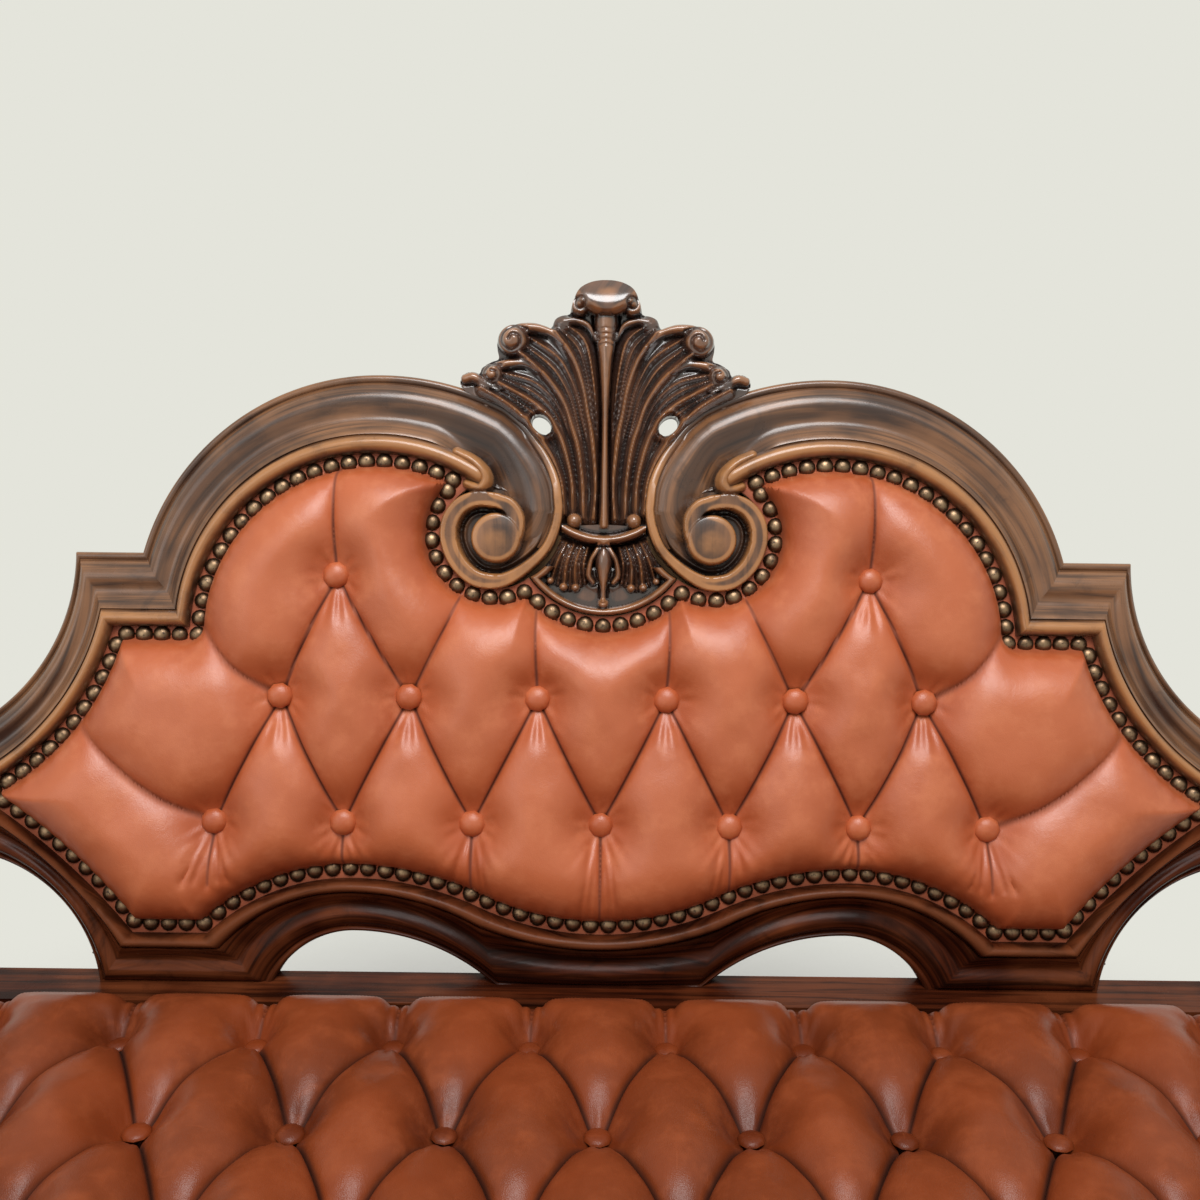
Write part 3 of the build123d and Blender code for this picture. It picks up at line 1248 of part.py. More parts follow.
def arm_side_nails():
    # Centres along the pad's lower border, on the arm's two faces.
    curve = edge((arm_chain()[2]))
    count = int((PAD_FRONT - PAD_REAR - NAIL_DIAMETER) / NAIL_PITCH)
    places = []
    for i in range(count + 1):
        y = -PAD_REAR - NAIL_DIAMETER / 2 - 2 - i * NAIL_PITCH
        share = (ARM_REAR_Y - y) / (ARM_REAR_Y + ARM_SCROLL_Y)
        top = curve.position_at(share)
        if y > -PAD_FRONT + NAIL_DIAMETER / 2:
            places.append((y, top.Y - PAD_SKIRT / 2))
    return places


def arm():
    body = side_prism(arm_chain(), arm_x0, arm_x1)
    eye = rod(2 * ARM_SCROLL_EYE, (arm_x0 - ARM_EYE_PROUD, -ARM_SCROLL_Y, ARM_SCROLL_Z),
              (arm_x1 + ARM_EYE_PROUD, -ARM_SCROLL_Y, ARM_SCROLL_Z))
    pins = []
    hole = NAIL_PIN_DIAMETER + 2 * PIN_FIT
    for y, z in arm_side_nails():
        pins.append(rod(hole, (arm_x0 - 1, y, z), (arm_x0 + NAIL_PIN_LENGTH, y, z)))
        pins.append(rod(hole, (arm_x1 + 1, y, z), (arm_x1 - NAIL_PIN_LENGTH, y, z)))
    return body + eye - [arm_rear_room(), arm_dowel(PIN_FIT), stump_dowel(PIN_FIT), *pins]


def stump_tenon(room=0.0):
    x = (arm_x0 + arm_x1) / 2
    half = TENON_THICKNESS / 2 + room
    front, rear = -STUMP_FRONT + STUMP_SHOULDER, -STUMP_REAR - STUMP_SHOULDER
    return box(x - half, x + half, front - room, rear + room, RAIL_TOP - TENON_LENGTH - room, RAIL_TOP + 1)


def arm_stump():
    waist_z = (RAIL_TOP + ARM_SCROLL_Z) / 2 - 20
    waist_y = -(STUMP_FRONT + STUMP_REAR) / 2 + 14
    high = ARM_SCROLL_Z
    front_waist, rear_waist = (waist_y - STUMP_WAIST / 2, waist_z), (waist_y + STUMP_WAIST / 2, waist_z)
    front_top, rear_top = (-STUMP_FRONT + 8, high), (-STUMP_REAR - 4, high)
    chain = [
        straight((-STUMP_FRONT, RAIL_TOP), (-STUMP_REAR, RAIL_TOP)),
        bulged((-STUMP_REAR, RAIL_TOP), rear_waist, -3.0),
        bulged(rear_waist, rear_top, -5.0),
        straight(rear_top, front_top),
        bulged(front_top, front_waist, 6.0),
        bulged(front_waist, (-STUMP_FRONT, RAIL_TOP), 7.0),
    ]
    body = side_prism(chain, side_inner + 1, side_outer - 1) + stump_tenon()
    arm_room = side_prism(arm_chain(), arm_x0 - 5, arm_x1 + 5)
    return body - [arm_room, stump_dowel(PIN_FIT)]


def arm_pad():
    curve = edge(arm_chain()[2])

    def on_arm(y, rise):
        p = curve.position_at((ARM_REAR_Y - y) / (ARM_REAR_Y + ARM_SCROLL_Y))
        return (p.X, p.Y + rise)
    mid_y = -(PAD_REAR + PAD_FRONT) / 2
    low = (on_arm(-PAD_FRONT, -PAD_SKIRT), on_arm(mid_y, -PAD_SKIRT), on_arm(-PAD_REAR, -PAD_SKIRT))
    high = (on_arm(-PAD_REAR - PAD_SLOPE, PAD_CROWN - 5), on_arm(mid_y, PAD_CROWN),
            on_arm(-PAD_FRONT + PAD_SLOPE, PAD_CROWN - 5))
    rear_rim, front_rim = on_arm(-PAD_REAR, 5), on_arm(-PAD_FRONT, 5)
    chain = [low, straight(low[2], rear_rim), bulged(rear_rim, high[0], -6.0), high,
             bulged(high[2], front_rim, -6.0), straight(front_rim, low[0])]
    body = side_prism(chain, arm_x0 - HIDE, arm_x1 + HIDE)
    # Seen from the front the pad is crowned across its width.
    rim_z = ARM_DIP_TOP + 6
    crown_z = ARM_DIP_TOP + PAD_CROWN + 4
    x0, x1 = arm_x0 - HIDE, arm_x1 + HIDE
    across = [straight((x0, rim_z - 60), (x1, rim_z - 60)), straight((x1, rim_z - 60), (x1, rim_z)),
              bulged((x1, rim_z), ((x0 + x1) / 2, crown_z), -7.0),
              bulged(((x0 + x1) / 2, crown_z), (x0, rim_z), -7.0),
              straight((x0, rim_z), (x0, rim_z - 60))]
    body = body & Plane.XZ * prism(across, 0, 2 * PAD_FRONT)
    arm_curve = arm_chain()[2]
    lifted = tuple((p[0], p[1] + FIT) for p in arm_curve)
    floor = ARM_DIP_BOTTOM - 40
    low_front, low_rear = (lifted[2][0], floor), (lifted[0][0], floor)
    core = [lifted, straight(lifted[2], low_front), straight(low_front, low_rear),
            straight(low_rear, lifted[0])]
    body -= side_prism(core, arm_x0 - 0.1, arm_x1 + 0.1)
    pins = []
    for y, z in arm_side_nails():
        pins.append(rod(NAIL_PIN_DIAMETER + 2 * PIN_FIT, (arm_x0 - 5, y, z), (arm_x1 + 5, y, z)))
    return body - pins


def arm_nails():
    one = nail()
    pieces = []
    for y, z in arm_side_nails():
        for x, way in ((arm_x0 - HIDE - 0.05, -1), (arm_x1 + HIDE + 0.05, 1)):
            for sign in (-1, 1):
                pieces.append(Plane((sign * x, y, z), z_dir=(sign * way, 0, 0)) * one)
    return group(pieces)


def joint_dowels():
    right = [placed(piece) for piece in frame_dowels()] + [arm_dowel(), stump_dowel()]
    left = [mirror(piece, about=Plane.YZ) for piece in right]
    upright = [foot_dowel(u) for u in foot_dowel_places]
    crest = [placed(piece) for piece in crest_dowels()]
    return group(right + left + upright + crest)


arches = both(back_arch() - [placed(room) for room in crest_dowel_rooms])
horns = both(back_horn())
lower_horns = both(back_lower_horn())
side_rails = both(side_rail())
posts = both(back_post())
legs = both(front_leg())
arms = both(arm())
stumps = both(arm_stump())
pads = both(arm_pad())

pieces = {
    "back_arch_right": arches[0],
    "back_arch_left": arches[1],
    "back_horn_right": horns[0],
    "back_horn_left": horns[1],
    "back_lower_horn_right": lower_horns[0],
    "back_lower_horn_left": lower_horns[1],
    "back_bottom_rail": back_bottom_rail(),
    "crest_shell": crest_shell(),
    "crest_cup": crest_cup(),
    "back_board": back_board(),
    "board_screws": group([placed(piece) for piece in board_screws()]),
    "tack_strip": tack_strip(),
    "back_foam": back_foam(),
    "back_leather": back_leather(),
    "back_buttons": back_buttons(),
    "back_nails": back_nails(),
    "outside_back": outside_back(),
    "joint_dowels": joint_dowels(),
    "ledge_board": ledge_board(),
    "rear_rail": rear_rail(),
    "front_rail": front_rail(),
    "side_rail_right": side_rails[0],
    "side_rail_left": side_rails[1],
    "seat_brace": seat_brace(),
    "seat_cleats": seat_cleats(),
    "corner_blocks": corner_blocks(),
    "block_screws": block_screws(),
    "seat_springs": seat_springs(),
    "spring_clips": clips_round_wire(),
    "seat_hessian": seat_hessian(),
    "seat_foam": seat_foam(),
    "seat_leather": seat_leather(),
    "seat_buttons": seat_buttons(),
    "seat_nails": seat_nails(),
    "dust_cover": dust_cover(),
    "back_post_right": posts[0],
    "back_post_left": posts[1],
    "front_leg_right": legs[0],
    "front_leg_left": legs[1],
    "leg_glides": leg_glides(),
    "arm_right": arms[0],
    "arm_left": arms[1],
    "arm_stump_right": stumps[0],
    "arm_stump_left": stumps[1],
    "arm_pad_right": pads[0],
    "arm_pad_left": pads[1],
    "arm_nails": arm_nails(),
}

# The origin sits on the floor, half way between the foremost and rearmost points.
boxes = [piece.bounding_box() for piece in pieces.values()]
front_most = min(b.min.Y for b in boxes)
rear_most = max(b.max.Y for b in boxes)
floor_z = min(b.min.Z for b in boxes)
home = Pos(0, -(front_most + rear_most) / 2, -floor_z)

os.makedirs("parts", exist_ok=True)
for name, piece in pieces.items():
    export_step(home * piece, f"parts/{name}.step")
print("depth shift", -(front_most + rear_most) / 2)
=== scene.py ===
import math
import bpy
import bmesh
import numpy as np
from mathutils import Matrix, Vector


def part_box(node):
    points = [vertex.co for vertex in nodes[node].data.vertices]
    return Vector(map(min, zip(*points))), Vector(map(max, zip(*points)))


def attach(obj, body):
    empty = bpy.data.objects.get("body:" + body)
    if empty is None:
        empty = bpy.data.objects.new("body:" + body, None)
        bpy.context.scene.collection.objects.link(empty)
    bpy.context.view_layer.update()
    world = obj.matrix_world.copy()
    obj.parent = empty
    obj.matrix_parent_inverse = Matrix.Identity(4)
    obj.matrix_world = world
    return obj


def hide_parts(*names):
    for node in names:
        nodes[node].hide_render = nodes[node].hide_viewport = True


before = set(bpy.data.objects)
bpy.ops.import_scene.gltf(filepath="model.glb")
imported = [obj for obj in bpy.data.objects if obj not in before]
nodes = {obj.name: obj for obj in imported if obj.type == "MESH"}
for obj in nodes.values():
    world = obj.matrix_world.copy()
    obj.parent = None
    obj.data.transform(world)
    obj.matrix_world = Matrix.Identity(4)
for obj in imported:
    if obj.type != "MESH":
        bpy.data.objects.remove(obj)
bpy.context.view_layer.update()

print("frame loaded:", len(nodes), "nodes")

# Places shared by all pieces, in millimetres on the raked back panel unless said otherwise
millimetre = 0.001
sharpAngle = math.radians(50.0)
panelRake = math.radians(12.0)
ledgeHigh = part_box("ledge_board")[1]
panelOrigin = np.array([0.0, ledgeHigh[1], ledgeHigh[2]])


def onPanel(u, v, w):
    # Panel millimetres to metres in the shared frame.
    u, v, w = (np.asarray(a, float) * millimetre for a in (u, v, w))
    y = panelOrigin[1] + v * math.sin(panelRake) - w * math.cos(panelRake)
    z = panelOrigin[2] + v * math.cos(panelRake) + w * math.sin(panelRake)
    return np.stack(np.broadcast_arrays(u, y, z), axis=-1)


# Mesh helpers

def linked(name, data):
    # A new object in the scene.
    obj = bpy.data.objects.new(name, data)
    bpy.context.scene.collection.objects.link(obj)
    return obj


def meshFrom(name, verts, faces, uvs=None, attributes=None):
    mesh = bpy.data.meshes.new(name)
    mesh.from_pydata([tuple(v) for v in verts], [], [tuple(f) for f in faces])
    if uvs is not None:
        layer = mesh.uv_layers.new(name="grain")
        loops = np.zeros(len(mesh.loops), dtype=np.int32)
        mesh.loops.foreach_get("vertex_index", loops)
        layer.data.foreach_set("uv", np.asarray(uvs, np.float32)[loops, :2].ravel())
    for key, values in (attributes or {}).items():
        layer = mesh.attributes.new(key, "FLOAT", "POINT")
        layer.data.foreach_set("value", np.asarray(values, np.float32))
    mesh.shade_smooth()
    mesh.set_sharp_from_angle(angle=sharpAngle)
    mesh.validate()
    return linked(name, mesh)


def tubeFaces(count, ring):
    # Quads between neighbouring rings, and one face over each end.
    faces = []
    for i in range(count - 1):
        for j in range(ring):
            n = (j + 1) % ring
            faces.append((i * ring + j, i * ring + n, (i + 1) * ring + n, (i + 1) * ring + j))
    faces.append(tuple(range(ring)))
    faces.append(tuple((count - 1) * ring + j for j in reversed(range(ring))))
    return faces


def gridCorners(number):
    # The four corners of each cell in a grid of numbers.
    four = [number[:-1, :-1], number[1:, :-1], number[1:, 1:], number[:-1, 1:]]
    return np.stack(four, axis=-1).reshape(-1, 4)


def place(obj, material, slotName, *replaced):
    obj.data.materials.clear()
    obj.data.materials.append(material)
    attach(obj, "root")
    if replaced:
        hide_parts(*replaced)
    return obj


def joined(name, parts):
    # Several (verts, faces, uvs, attributes) sets as one mesh.
    verts, faces, uvs, values = [], [], [], {}
    for partVerts, partFaces, partUvs, partValues in parts:
        start = sum(len(v) for v in verts)
        verts.append(np.asarray(partVerts))
        faces += [tuple(i + start for i in f) for f in partFaces]
        uvs.append(np.asarray(partUvs)[:, :2])
        for key in ("wear", "grimeAndShade", "bare"):
            own = partValues.get(key, np.zeros(len(partVerts)))
            values.setdefault(key, []).append(np.asarray(own))
    return meshFrom(name, np.concatenate(verts), faces, np.concatenate(uvs),
                    attributes={k: np.concatenate(v) for k, v in values.items()})


def islandCentres(node):
    # Centre of each separate solid of a CAD node that groups several.
    mesh = nodes[node].data
    places = np.zeros(len(mesh.vertices) * 3)
    mesh.vertices.foreach_get("co", places)
    places = places.reshape(-1, 3)
    fineness = 1e5
    keys, ids = np.unique(np.round(places * fineness).astype(np.int64), axis=0, return_inverse=True)
    ids = ids.ravel()
    parent = list(range(len(keys)))

    def root(i):
        while parent[i] != i:
            parent[i] = parent[parent[i]]
            i = parent[i]
        return i
    for polygon in mesh.polygons:
        first = root(ids[polygon.vertices[0]])
        for other in polygon.vertices[1:]:
            parent[root(ids[other])] = first
    groups = {}
    for i in range(len(keys)):
        groups.setdefault(root(i), []).append(i)
    return [(keys[g].min(0) + keys[g].max(0)) / (2 * fineness) for g in groups.values()]


# Plane curves

def arcPoints(a, m, b, count):
    # Places on the arc from a over m to b, or on a straight line where the three lie in a row.
    a, m, b = (np.array(q, float) for q in (a, m, b))
    share = np.linspace(0, 1, count)[:, None]
    toMiddle, toEnd = m - a, b - a
    cross = toMiddle[0] * toEnd[1] - toMiddle[1] * toEnd[0]
    if abs(cross) < 1e-6:
        return a + toEnd * share
    middleSquare, endSquare = toMiddle.dot(toMiddle), toEnd.dot(toEnd)
    offset = np.array([toEnd[1] * middleSquare - toMiddle[1] * endSquare,
                       toMiddle[0] * endSquare - toEnd[0] * middleSquare])
    centre = a + offset / (2 * cross)
    radius = np.hypot(*(a - centre))
    begin = math.atan2(*(a - centre)[::-1])
    sweep = (math.atan2(*(b - centre)[::-1]) - begin) % (2 * math.pi)
    middle = (math.atan2(*(m - centre)[::-1]) - begin) % (2 * math.pi)
    if middle > sweep:
        sweep -= 2 * math.pi
    angles = begin + sweep * share[:, 0]
    return centre + radius * np.stack([np.cos(angles), np.sin(angles)], axis=1)


def smoothPath(points, count, pieces=24):
    # Evenly spaced places on a Catmull-Rom curve through the points.
    pts = np.array(points, float)
    ext = np.vstack([2 * pts[0] - pts[1], pts, 2 * pts[-1] - pts[-2]])
    t = np.linspace(0, 1, pieces, endpoint=False)[:, None]
    dense = []
    for i in range(1, len(ext) - 2):
        p0, p1, p2, p3 = ext[i - 1:i + 3]
        dense.append(0.5 * (2 * p1 + (p2 - p0) * t + (2 * p0 - 5 * p1 + 4 * p2 - p3) * t ** 2
                            + (3 * p1 - p0 - 3 * p2 + p3) * t ** 3))
    dense = np.vstack(dense + [pts[-1:]])
    run = np.concatenate([[0], np.cumsum(np.hypot(*np.diff(dense[:, :2], axis=0).T))])
    at = np.linspace(0, run[-1], count)
    return np.stack([np.interp(at, run, dense[:, k]) for k in range(pts.shape[1])], axis=1)


def bulged(a, b, rise):
    # Three places of an arc that stands off the line from a to b.
    a, b = np.array(a, float), np.array(b, float)
    way = (b - a) / np.hypot(*(b - a))
    return (a, (a + b) / 2 + np.array([-way[1], way[0]]) * rise, b)


def level(a, b):
    # Three places of an arc that leaves a level and ends in b.
    a, b = np.array(a, float), np.array(b, float)
    du, dv = b - a
    radius = (du * du + dv * dv) / (2 * dv)
    chord = math.hypot(du, dv)
    sagitta = abs(radius) - math.sqrt(radius * radius - chord * chord / 4)
    return bulged(a, b, (-1 if du * dv > 0 else 1) * sagitta)


def turned(centre, radius, start, end):
    # Three places on a circle, by angles in degrees.
    angles = [math.radians(d) for d in (start, (start + end) / 2, end)]
    return tuple((centre[0] + radius * math.cos(a), centre[1] + radius * math.sin(a)) for a in angles)


def segmentDistance(u, v, a, b):
    # Distance to a straight piece, and the share of the way along it.
    du, dv = b[0] - a[0], b[1] - a[1]
    t = np.clip(((u - a[0]) * du + (v - a[1]) * dv) / max(du * du + dv * dv, 1e-9), 0, 1)
    return np.hypot(u - a[0] - t * du, v - a[1] - t * dv), t


def edgeRun(loop, u, v):
    # Signed distance to a closed line and the length along it at the nearest place.
    flatU, flatV = u.ravel(), v.ravel()
    near = np.full(flatU.shape, 1e9)
    run = np.zeros(flatU.shape)
    odd = np.zeros(flatU.shape, bool)
    start = 0.0
    for a, b in zip(loop, np.roll(loop, -1, axis=0)):
        d, t = segmentDistance(flatU, flatV, a, b)
        size = math.hypot(*(b - a))
        closer = d < near
        near = np.where(closer, d, near)
        run = np.where(closer, start + t * size, run)
        start += size
        if a[1] != b[1]:
            crosses = (a[1] > flatV) != (b[1] > flatV)
            odd ^= crosses & (flatU < (b[0] - a[0]) * (flatV - a[1]) / (b[1] - a[1]) + a[0])
    signed = np.where(odd, near, -near)
    return signed.reshape(u.shape), run.reshape(u.shape)


def insideDistance(loop, u, v):
    # Signed distance to a closed line, positive inside.
    return edgeRun(loop, u, v)[0]


def bell(x, middle, width):
    return np.exp(-((x - middle) / width) ** 2)


def ramp(at, start, length):
    # Straight rise from 0 at start to 1 after length, as a column.
    return np.clip((at - start) / length, 0, 1)[:, None]


# Back frame outline, right half
panel = {
    "half": 577.0, "ear": (419.0, 337.0), "earEnd": (366.0, 337.0), "sightEar": (387.0, 281.0),
    "sightEarEnd": (327.0, 281.0), "hornTop": 178.0, "hornLow": 98.0, "tip": (500.0, 147.0),
    "hornSplit": 68.0, "hornBulge": 20.0, "lowerHorn": (508.0, 98.0), "lowerBulge": 28.0,
    "lowerSightBulge": 8.0, "archTop": (178.0, 480.0), "sightArchTop": (178.0, 419.0), "fullness": 0.675,
    "sightFullness": 0.70, "neck": (78.0, 456.0), "scroll": (85.0, 354.0), "scrollRadius": 42.0,
    "scrollBack": (34.0, 372.0), "backBulge": 9.0, "hookAngle": 72.0, "cupAngle": -129.0, "cupBottom": 291.0,
    "footOuter": (397.0, -9.0), "footInner": (262.0, -9.0), "sightFootOuter": (370.0, 35.0),
    "sightFootInner": (308.0, 35.0), "gapTop": (195.0, 37.5), "middleFoot": 78.0, "peak": (197.0, 80.0),
    "dip": (0.0, 37.0), "sightSteps": 26,
}


def hornAt(degrees):
    # Place on the quarter round from the ear's corner down to the post.
    turn = math.radians(degrees)
    earU, earV = panel["ear"]
    return (panel["half"] - (panel["half"] - earU) * math.cos(turn),
            earV - (earV - panel["hornTop"]) * math.sin(turn))


def quarter(a, b, corner, fullness):
    # Three places of a round from a to b, by how far it stands off the corner.
    return (a, tuple(corner[i] + fullness * (a[i] + b[i] - 2 * corner[i]) for i in (0, 1)), b)


def straight(a, b):
    return (a, ((a[0] + b[0]) / 2, (a[1] + b[1]) / 2), b)


postTop, postLow = (panel["half"], panel["hornTop"]), (panel["half"], panel["hornLow"])
postMid = (panel["half"], (panel["hornTop"] + panel["hornLow"]) / 2)
swell = (panel["peak"][0] / 2, (panel["peak"][1] + panel["dip"][1]) / 2)
hook = turned(panel["scroll"], panel["scrollRadius"], panel["hookAngle"], panel["hookAngle"])[0]
cupJoint = turned(panel["scroll"], panel["scrollRadius"], panel["cupAngle"], panel["cupAngle"])[0]
cupBottom = (0.0, panel["cupBottom"])
scrollMid = (panel["hookAngle"] + panel["cupAngle"]) / 2
sightRail = [level(panel["dip"], swell), level(panel["peak"], swell)[::-1],
             level(panel["peak"], panel["sightFootInner"]),
             straight(panel["sightFootInner"], panel["sightFootOuter"])]
sightCorner = (panel["archTop"][0], panel["sightEar"][1])
sightArch = quarter(panel["sightEarEnd"], panel["sightArchTop"], sightCorner, panel["sightFullness"])
sightNeck = level(panel["sightArchTop"], hook)
sightLower = bulged(panel["sightFootOuter"], panel["tip"], panel["lowerSightBulge"])
sightHorn = bulged(panel["sightEar"], panel["tip"], -panel["hornBulge"])
sightRuns = sightRail + [sightLower, sightHorn[::-1], straight(panel["sightEar"], panel["sightEarEnd"]),
                         sightArch, sightNeck,
                         turned(panel["scroll"], panel["scrollRadius"], panel["hookAngle"], scrollMid),
                         turned(panel["scroll"], panel["scrollRadius"], scrollMid, panel["cupAngle"]),
                         level(cupBottom, cupJoint)[::-1]]
rightSight = np.vstack([arcPoints(*run, panel["sightSteps"])[:-1] for run in sightRuns])
sightLoop = np.vstack([rightSight, rightSight[::-1][:-1] * [-1, 1]])


# Shader maths: a wrapped socket with plain operators

class Field:
    def __init__(self, tree, socket=None):
        self.tree = tree
        self.socket = socket

    def make(self, kind, inputs=None, output=0, **settings):
        node = self.tree.nodes.new(kind)
        for key, value in settings.items():
            setattr(node, key, value)
        for key, value in (inputs or {}).items():
            if isinstance(value, Field):
                self.tree.links.new(value.socket, node.inputs[key])
            else:
                node.inputs[key].default_value = value
        return Field(self.tree, node.outputs[output])

    def does(self, operation, *others, clamp=False):
        terms = {i: value for i, value in enumerate((self,) + others)}
        return self.make("ShaderNodeMath", terms, operation=operation, use_clamp=clamp)

    def __add__(self, other):
        return self.does("ADD", other)

    def __sub__(self, other):
        return self.does("SUBTRACT", other)

    def __mul__(self, other):
        return self.does("MULTIPLY", other)

    def __rsub__(self, other):
        return self.make("ShaderNodeMath", {0: other, 1: self}, operation="SUBTRACT")

    __radd__ = __add__
    __rmul__ = __mul__

    def between(self, low, high):
        # Smooth rise from 0 at low to 1 at high.
        return self.make("ShaderNodeMapRange", {"Value": self, "From Min": low, "From Max": high},
                         interpolation_type="SMOOTHSTEP")

    def blend(self, first, second):
        # This value chooses between two colours.
        return self.make("ShaderNodeMix", {0: self, 6: first, 7: second}, output=2, data_type="RGBA")


def rgb(red, green, blue):
    # Screen colour of 0 to 255 as linear values.
    shares = [c / 255 for c in (red, green, blue)]
    return tuple(((c + 0.055) / 1.055) ** 2.4 if c > 0.04045 else c / 12.92 for c in shares) + (1.0,)


def nodeOf(tree, kind):
    return next(n for n in tree.nodes if n.type == kind)


def newMaterial(name):
    material = bpy.data.materials.new(name)
    material.use_nodes = True
    tree = material.node_tree
    return material, tree, nodeOf(tree, "BSDF_PRINCIPLED"), Field(tree)


def feed(tree, shader, **inputs):
    names = {"color": "Base Color", "rough": "Roughness", "metal": "Metallic", "coat": "Coat Weight",
             "normal": "Normal"}
    for key, field in inputs.items():
        tree.links.new(field.socket, shader.inputs[names[key]])


def stored(field, name):
    # A value kept on the mesh.
    return field.make("ShaderNodeAttribute", output="Fac", attribute_name=name)


def noise(field, vector, scale, detail=3.0, rough=0.5, distort=0.0):
    return field.make("ShaderNodeTexNoise", {"Vector": vector, "Scale": scale, "Detail": detail,
                                             "Roughness": rough, "Distortion": distort})


def bump(field, height, strength, distance, normal=None):
    inputs = {"Height": height, "Strength": strength, "Distance": distance}
    if normal is not None:
        inputs["Normal"] = normal
    return field.make("ShaderNodeBump", inputs)


def stretched(field, vector, scale):
    return field.make("ShaderNodeMapping", {"Vector": vector, "Scale": scale})


woodValues = {
    "walnut": {"dark": (52, 33, 24), "mid": (96, 64, 43), "light": (134, 92, 60), "worn": (168, 115, 68),
               "deep": (43, 28, 23), "rough": 0.25, "coat": 0.34, "shine": 0.5},
    "carved": {"dark": (46, 29, 23), "mid": (76, 49, 37), "light": (102, 68, 49), "worn": (154, 103, 64),
               "deep": (28, 18, 17), "rough": 0.17, "coat": 0.85, "shine": 0.65},
    "mahogany": {"dark": (38, 13, 6), "mid": (74, 31, 14), "light": (102, 52, 28), "worn": (116, 66, 40),
                 "deep": (20, 8, 5), "rough": 0.22, "coat": 0.0, "shine": 0.08},
    "coatRough": 0.2, "grainAlong": 7.0, "grainAcross": 170.0, "streakAlong": 4.0, "streakAcross": 62.0,
    "cloudScale": 11.0, "patchScale": 38.0, "smudgeScale": 23.0, "dentScale": 55.0, "bareRough": 0.45,
    # shares of streaks and smudges on the old show wood and on plain pieces
    "oldStreaks": 0.72, "plainStreaks": 0.35, "oldSmudges": 0.7, "plainSmudges": 0.25,
}


def woodMaterial(name, kind, wear, tone=1.0, direction=None):
    # Waxed wood. With no direction the grain follows the piece's own grain map.
    values = woodValues[kind]
    material, tree, shader, f = newMaterial(name)
    along, across = woodValues["grainAlong"], woodValues["grainAcross"]
    objectPlace = f.make("ShaderNodeTexCoord", output="Object")
    if direction is None:
        grainMap = f.make("ShaderNodeUVMap", uv_map="grain")
        grainPlace = stretched(f, grainMap, (along, across, 1.0))
        streakPlace = stretched(f, grainMap, (woodValues["streakAlong"], woodValues["streakAcross"], 1.0))
    else:
        grainPlace = stretched(f, objectPlace,
                               tuple(along if axis == direction else across for axis in "xyz"))
        streakPlace = stretched(f, grainPlace, (0.5, 0.35, 0.35))
    fibre = noise(f, grainPlace, 1.0, 5.0, 0.6, 0.4)
    pores = noise(f, stretched(f, grainPlace, (3.0, 2.6, 2.6)), 1.0, 2.0, 0.5)
    clouds = noise(f, objectPlace, woodValues["cloudScale"], 3.0, 0.55)
    patches = noise(f, objectPlace, woodValues["patchScale"], 4.0, 0.6)
    streaks = noise(f, streakPlace, 1.0, 3.0, 0.6, 0.6)
    body = fibre.between(0.38, 0.64).blend(rgb(*values["dark"]), rgb(*values["mid"]))
    body = (clouds.between(0.36, 0.64) * fibre.between(0.25, 0.6)).blend(body, rgb(*values["light"]))
    streakShare = woodValues["oldStreaks" if wear else "plainStreaks"]
    body = (streaks.between(0.50, 0.64) * streakShare).blend(body, rgb(*values["deep"]))
    smudge = noise(f, objectPlace, woodValues["smudgeScale"], 5.0, 0.65, 0.8).between(0.56, 0.74)
    smudgeShare = woodValues["oldSmudges" if wear else "plainSmudges"]
    body = (smudge * smudgeShare).blend(body, rgb(*values["deep"]))
    if tone != 1.0:
        body = f.make("ShaderNodeHueSaturation", {"Color": body, "Value": tone})
    if wear:
        worn = stored(f, "wear")
        rubbed = (worn * (0.25 + patches * 1.4)).between(0.30, 1.0)
        body = (rubbed * wear).blend(body, rgb(*values["worn"]))
        # Grime and painted shade: darker in hollows, grooves and on steep inner walls, as the mesh marks them
        grimeAndShade = stored(f, "grimeAndShade")
        body = ((grimeAndShade * (0.7 + patches * 0.4)).between(0.2, 1.1) * 0.85).blend(body, rgb(*values["deep"]))
    pits = pores.between(0.28, 0.42)
    body = pits.blend(f.make("ShaderNodeHueSaturation", {"Color": body, "Value": 0.7}), body)
    rough = values["rough"] + 0.22 * (patches - 0.3)
    relief = bump(f, pores * 0.6 + fibre * 0.4, 0.22, 0.0006)
    dents = bump(f, noise(f, objectPlace, woodValues["dentScale"], 2.0, 0.5), 0.16, 0.002, relief)
    shader.inputs["Coat Weight"].default_value = values["coat"]
    if wear:
        bare = stored(f, "bare")  # unpolished rear
        rough = rough + woodValues["bareRough"] * bare
        feed(tree, shader, coat=(1.0 - bare) * values["coat"])
    feed(tree, shader, color=body, rough=rough, normal=dents)
    shader.inputs["Specular IOR Level"].default_value = values["shine"]
    shader.inputs["Coat Roughness"].default_value = woodValues["coatRough"]
    return material


leatherValues = {
    "back": {"base": (185, 95, 55), "light": (199, 116, 76), "dark": (169, 82, 45), "creaseShade": (84, 32, 14),
             "rough": 0.35, "shine": 0.55, "scratch": 0.10},
    # the seat's hide is darker than the back's: painted shade, with worn and dirty hide
    "seat": {"base": (126, 56, 25), "light": (148, 75, 41), "dark": (95, 40, 17), "creaseShade": (50, 20, 10),
             "rough": 0.32, "shine": 0.24, "scratch": 0.5},
    "cloudScale": 9.0, "stainScale": 46.0, "poreScale": 900.0, "grainScale": 620.0, "wrinkleScale": 60.0,
    "cutFrom": 0.3,
}


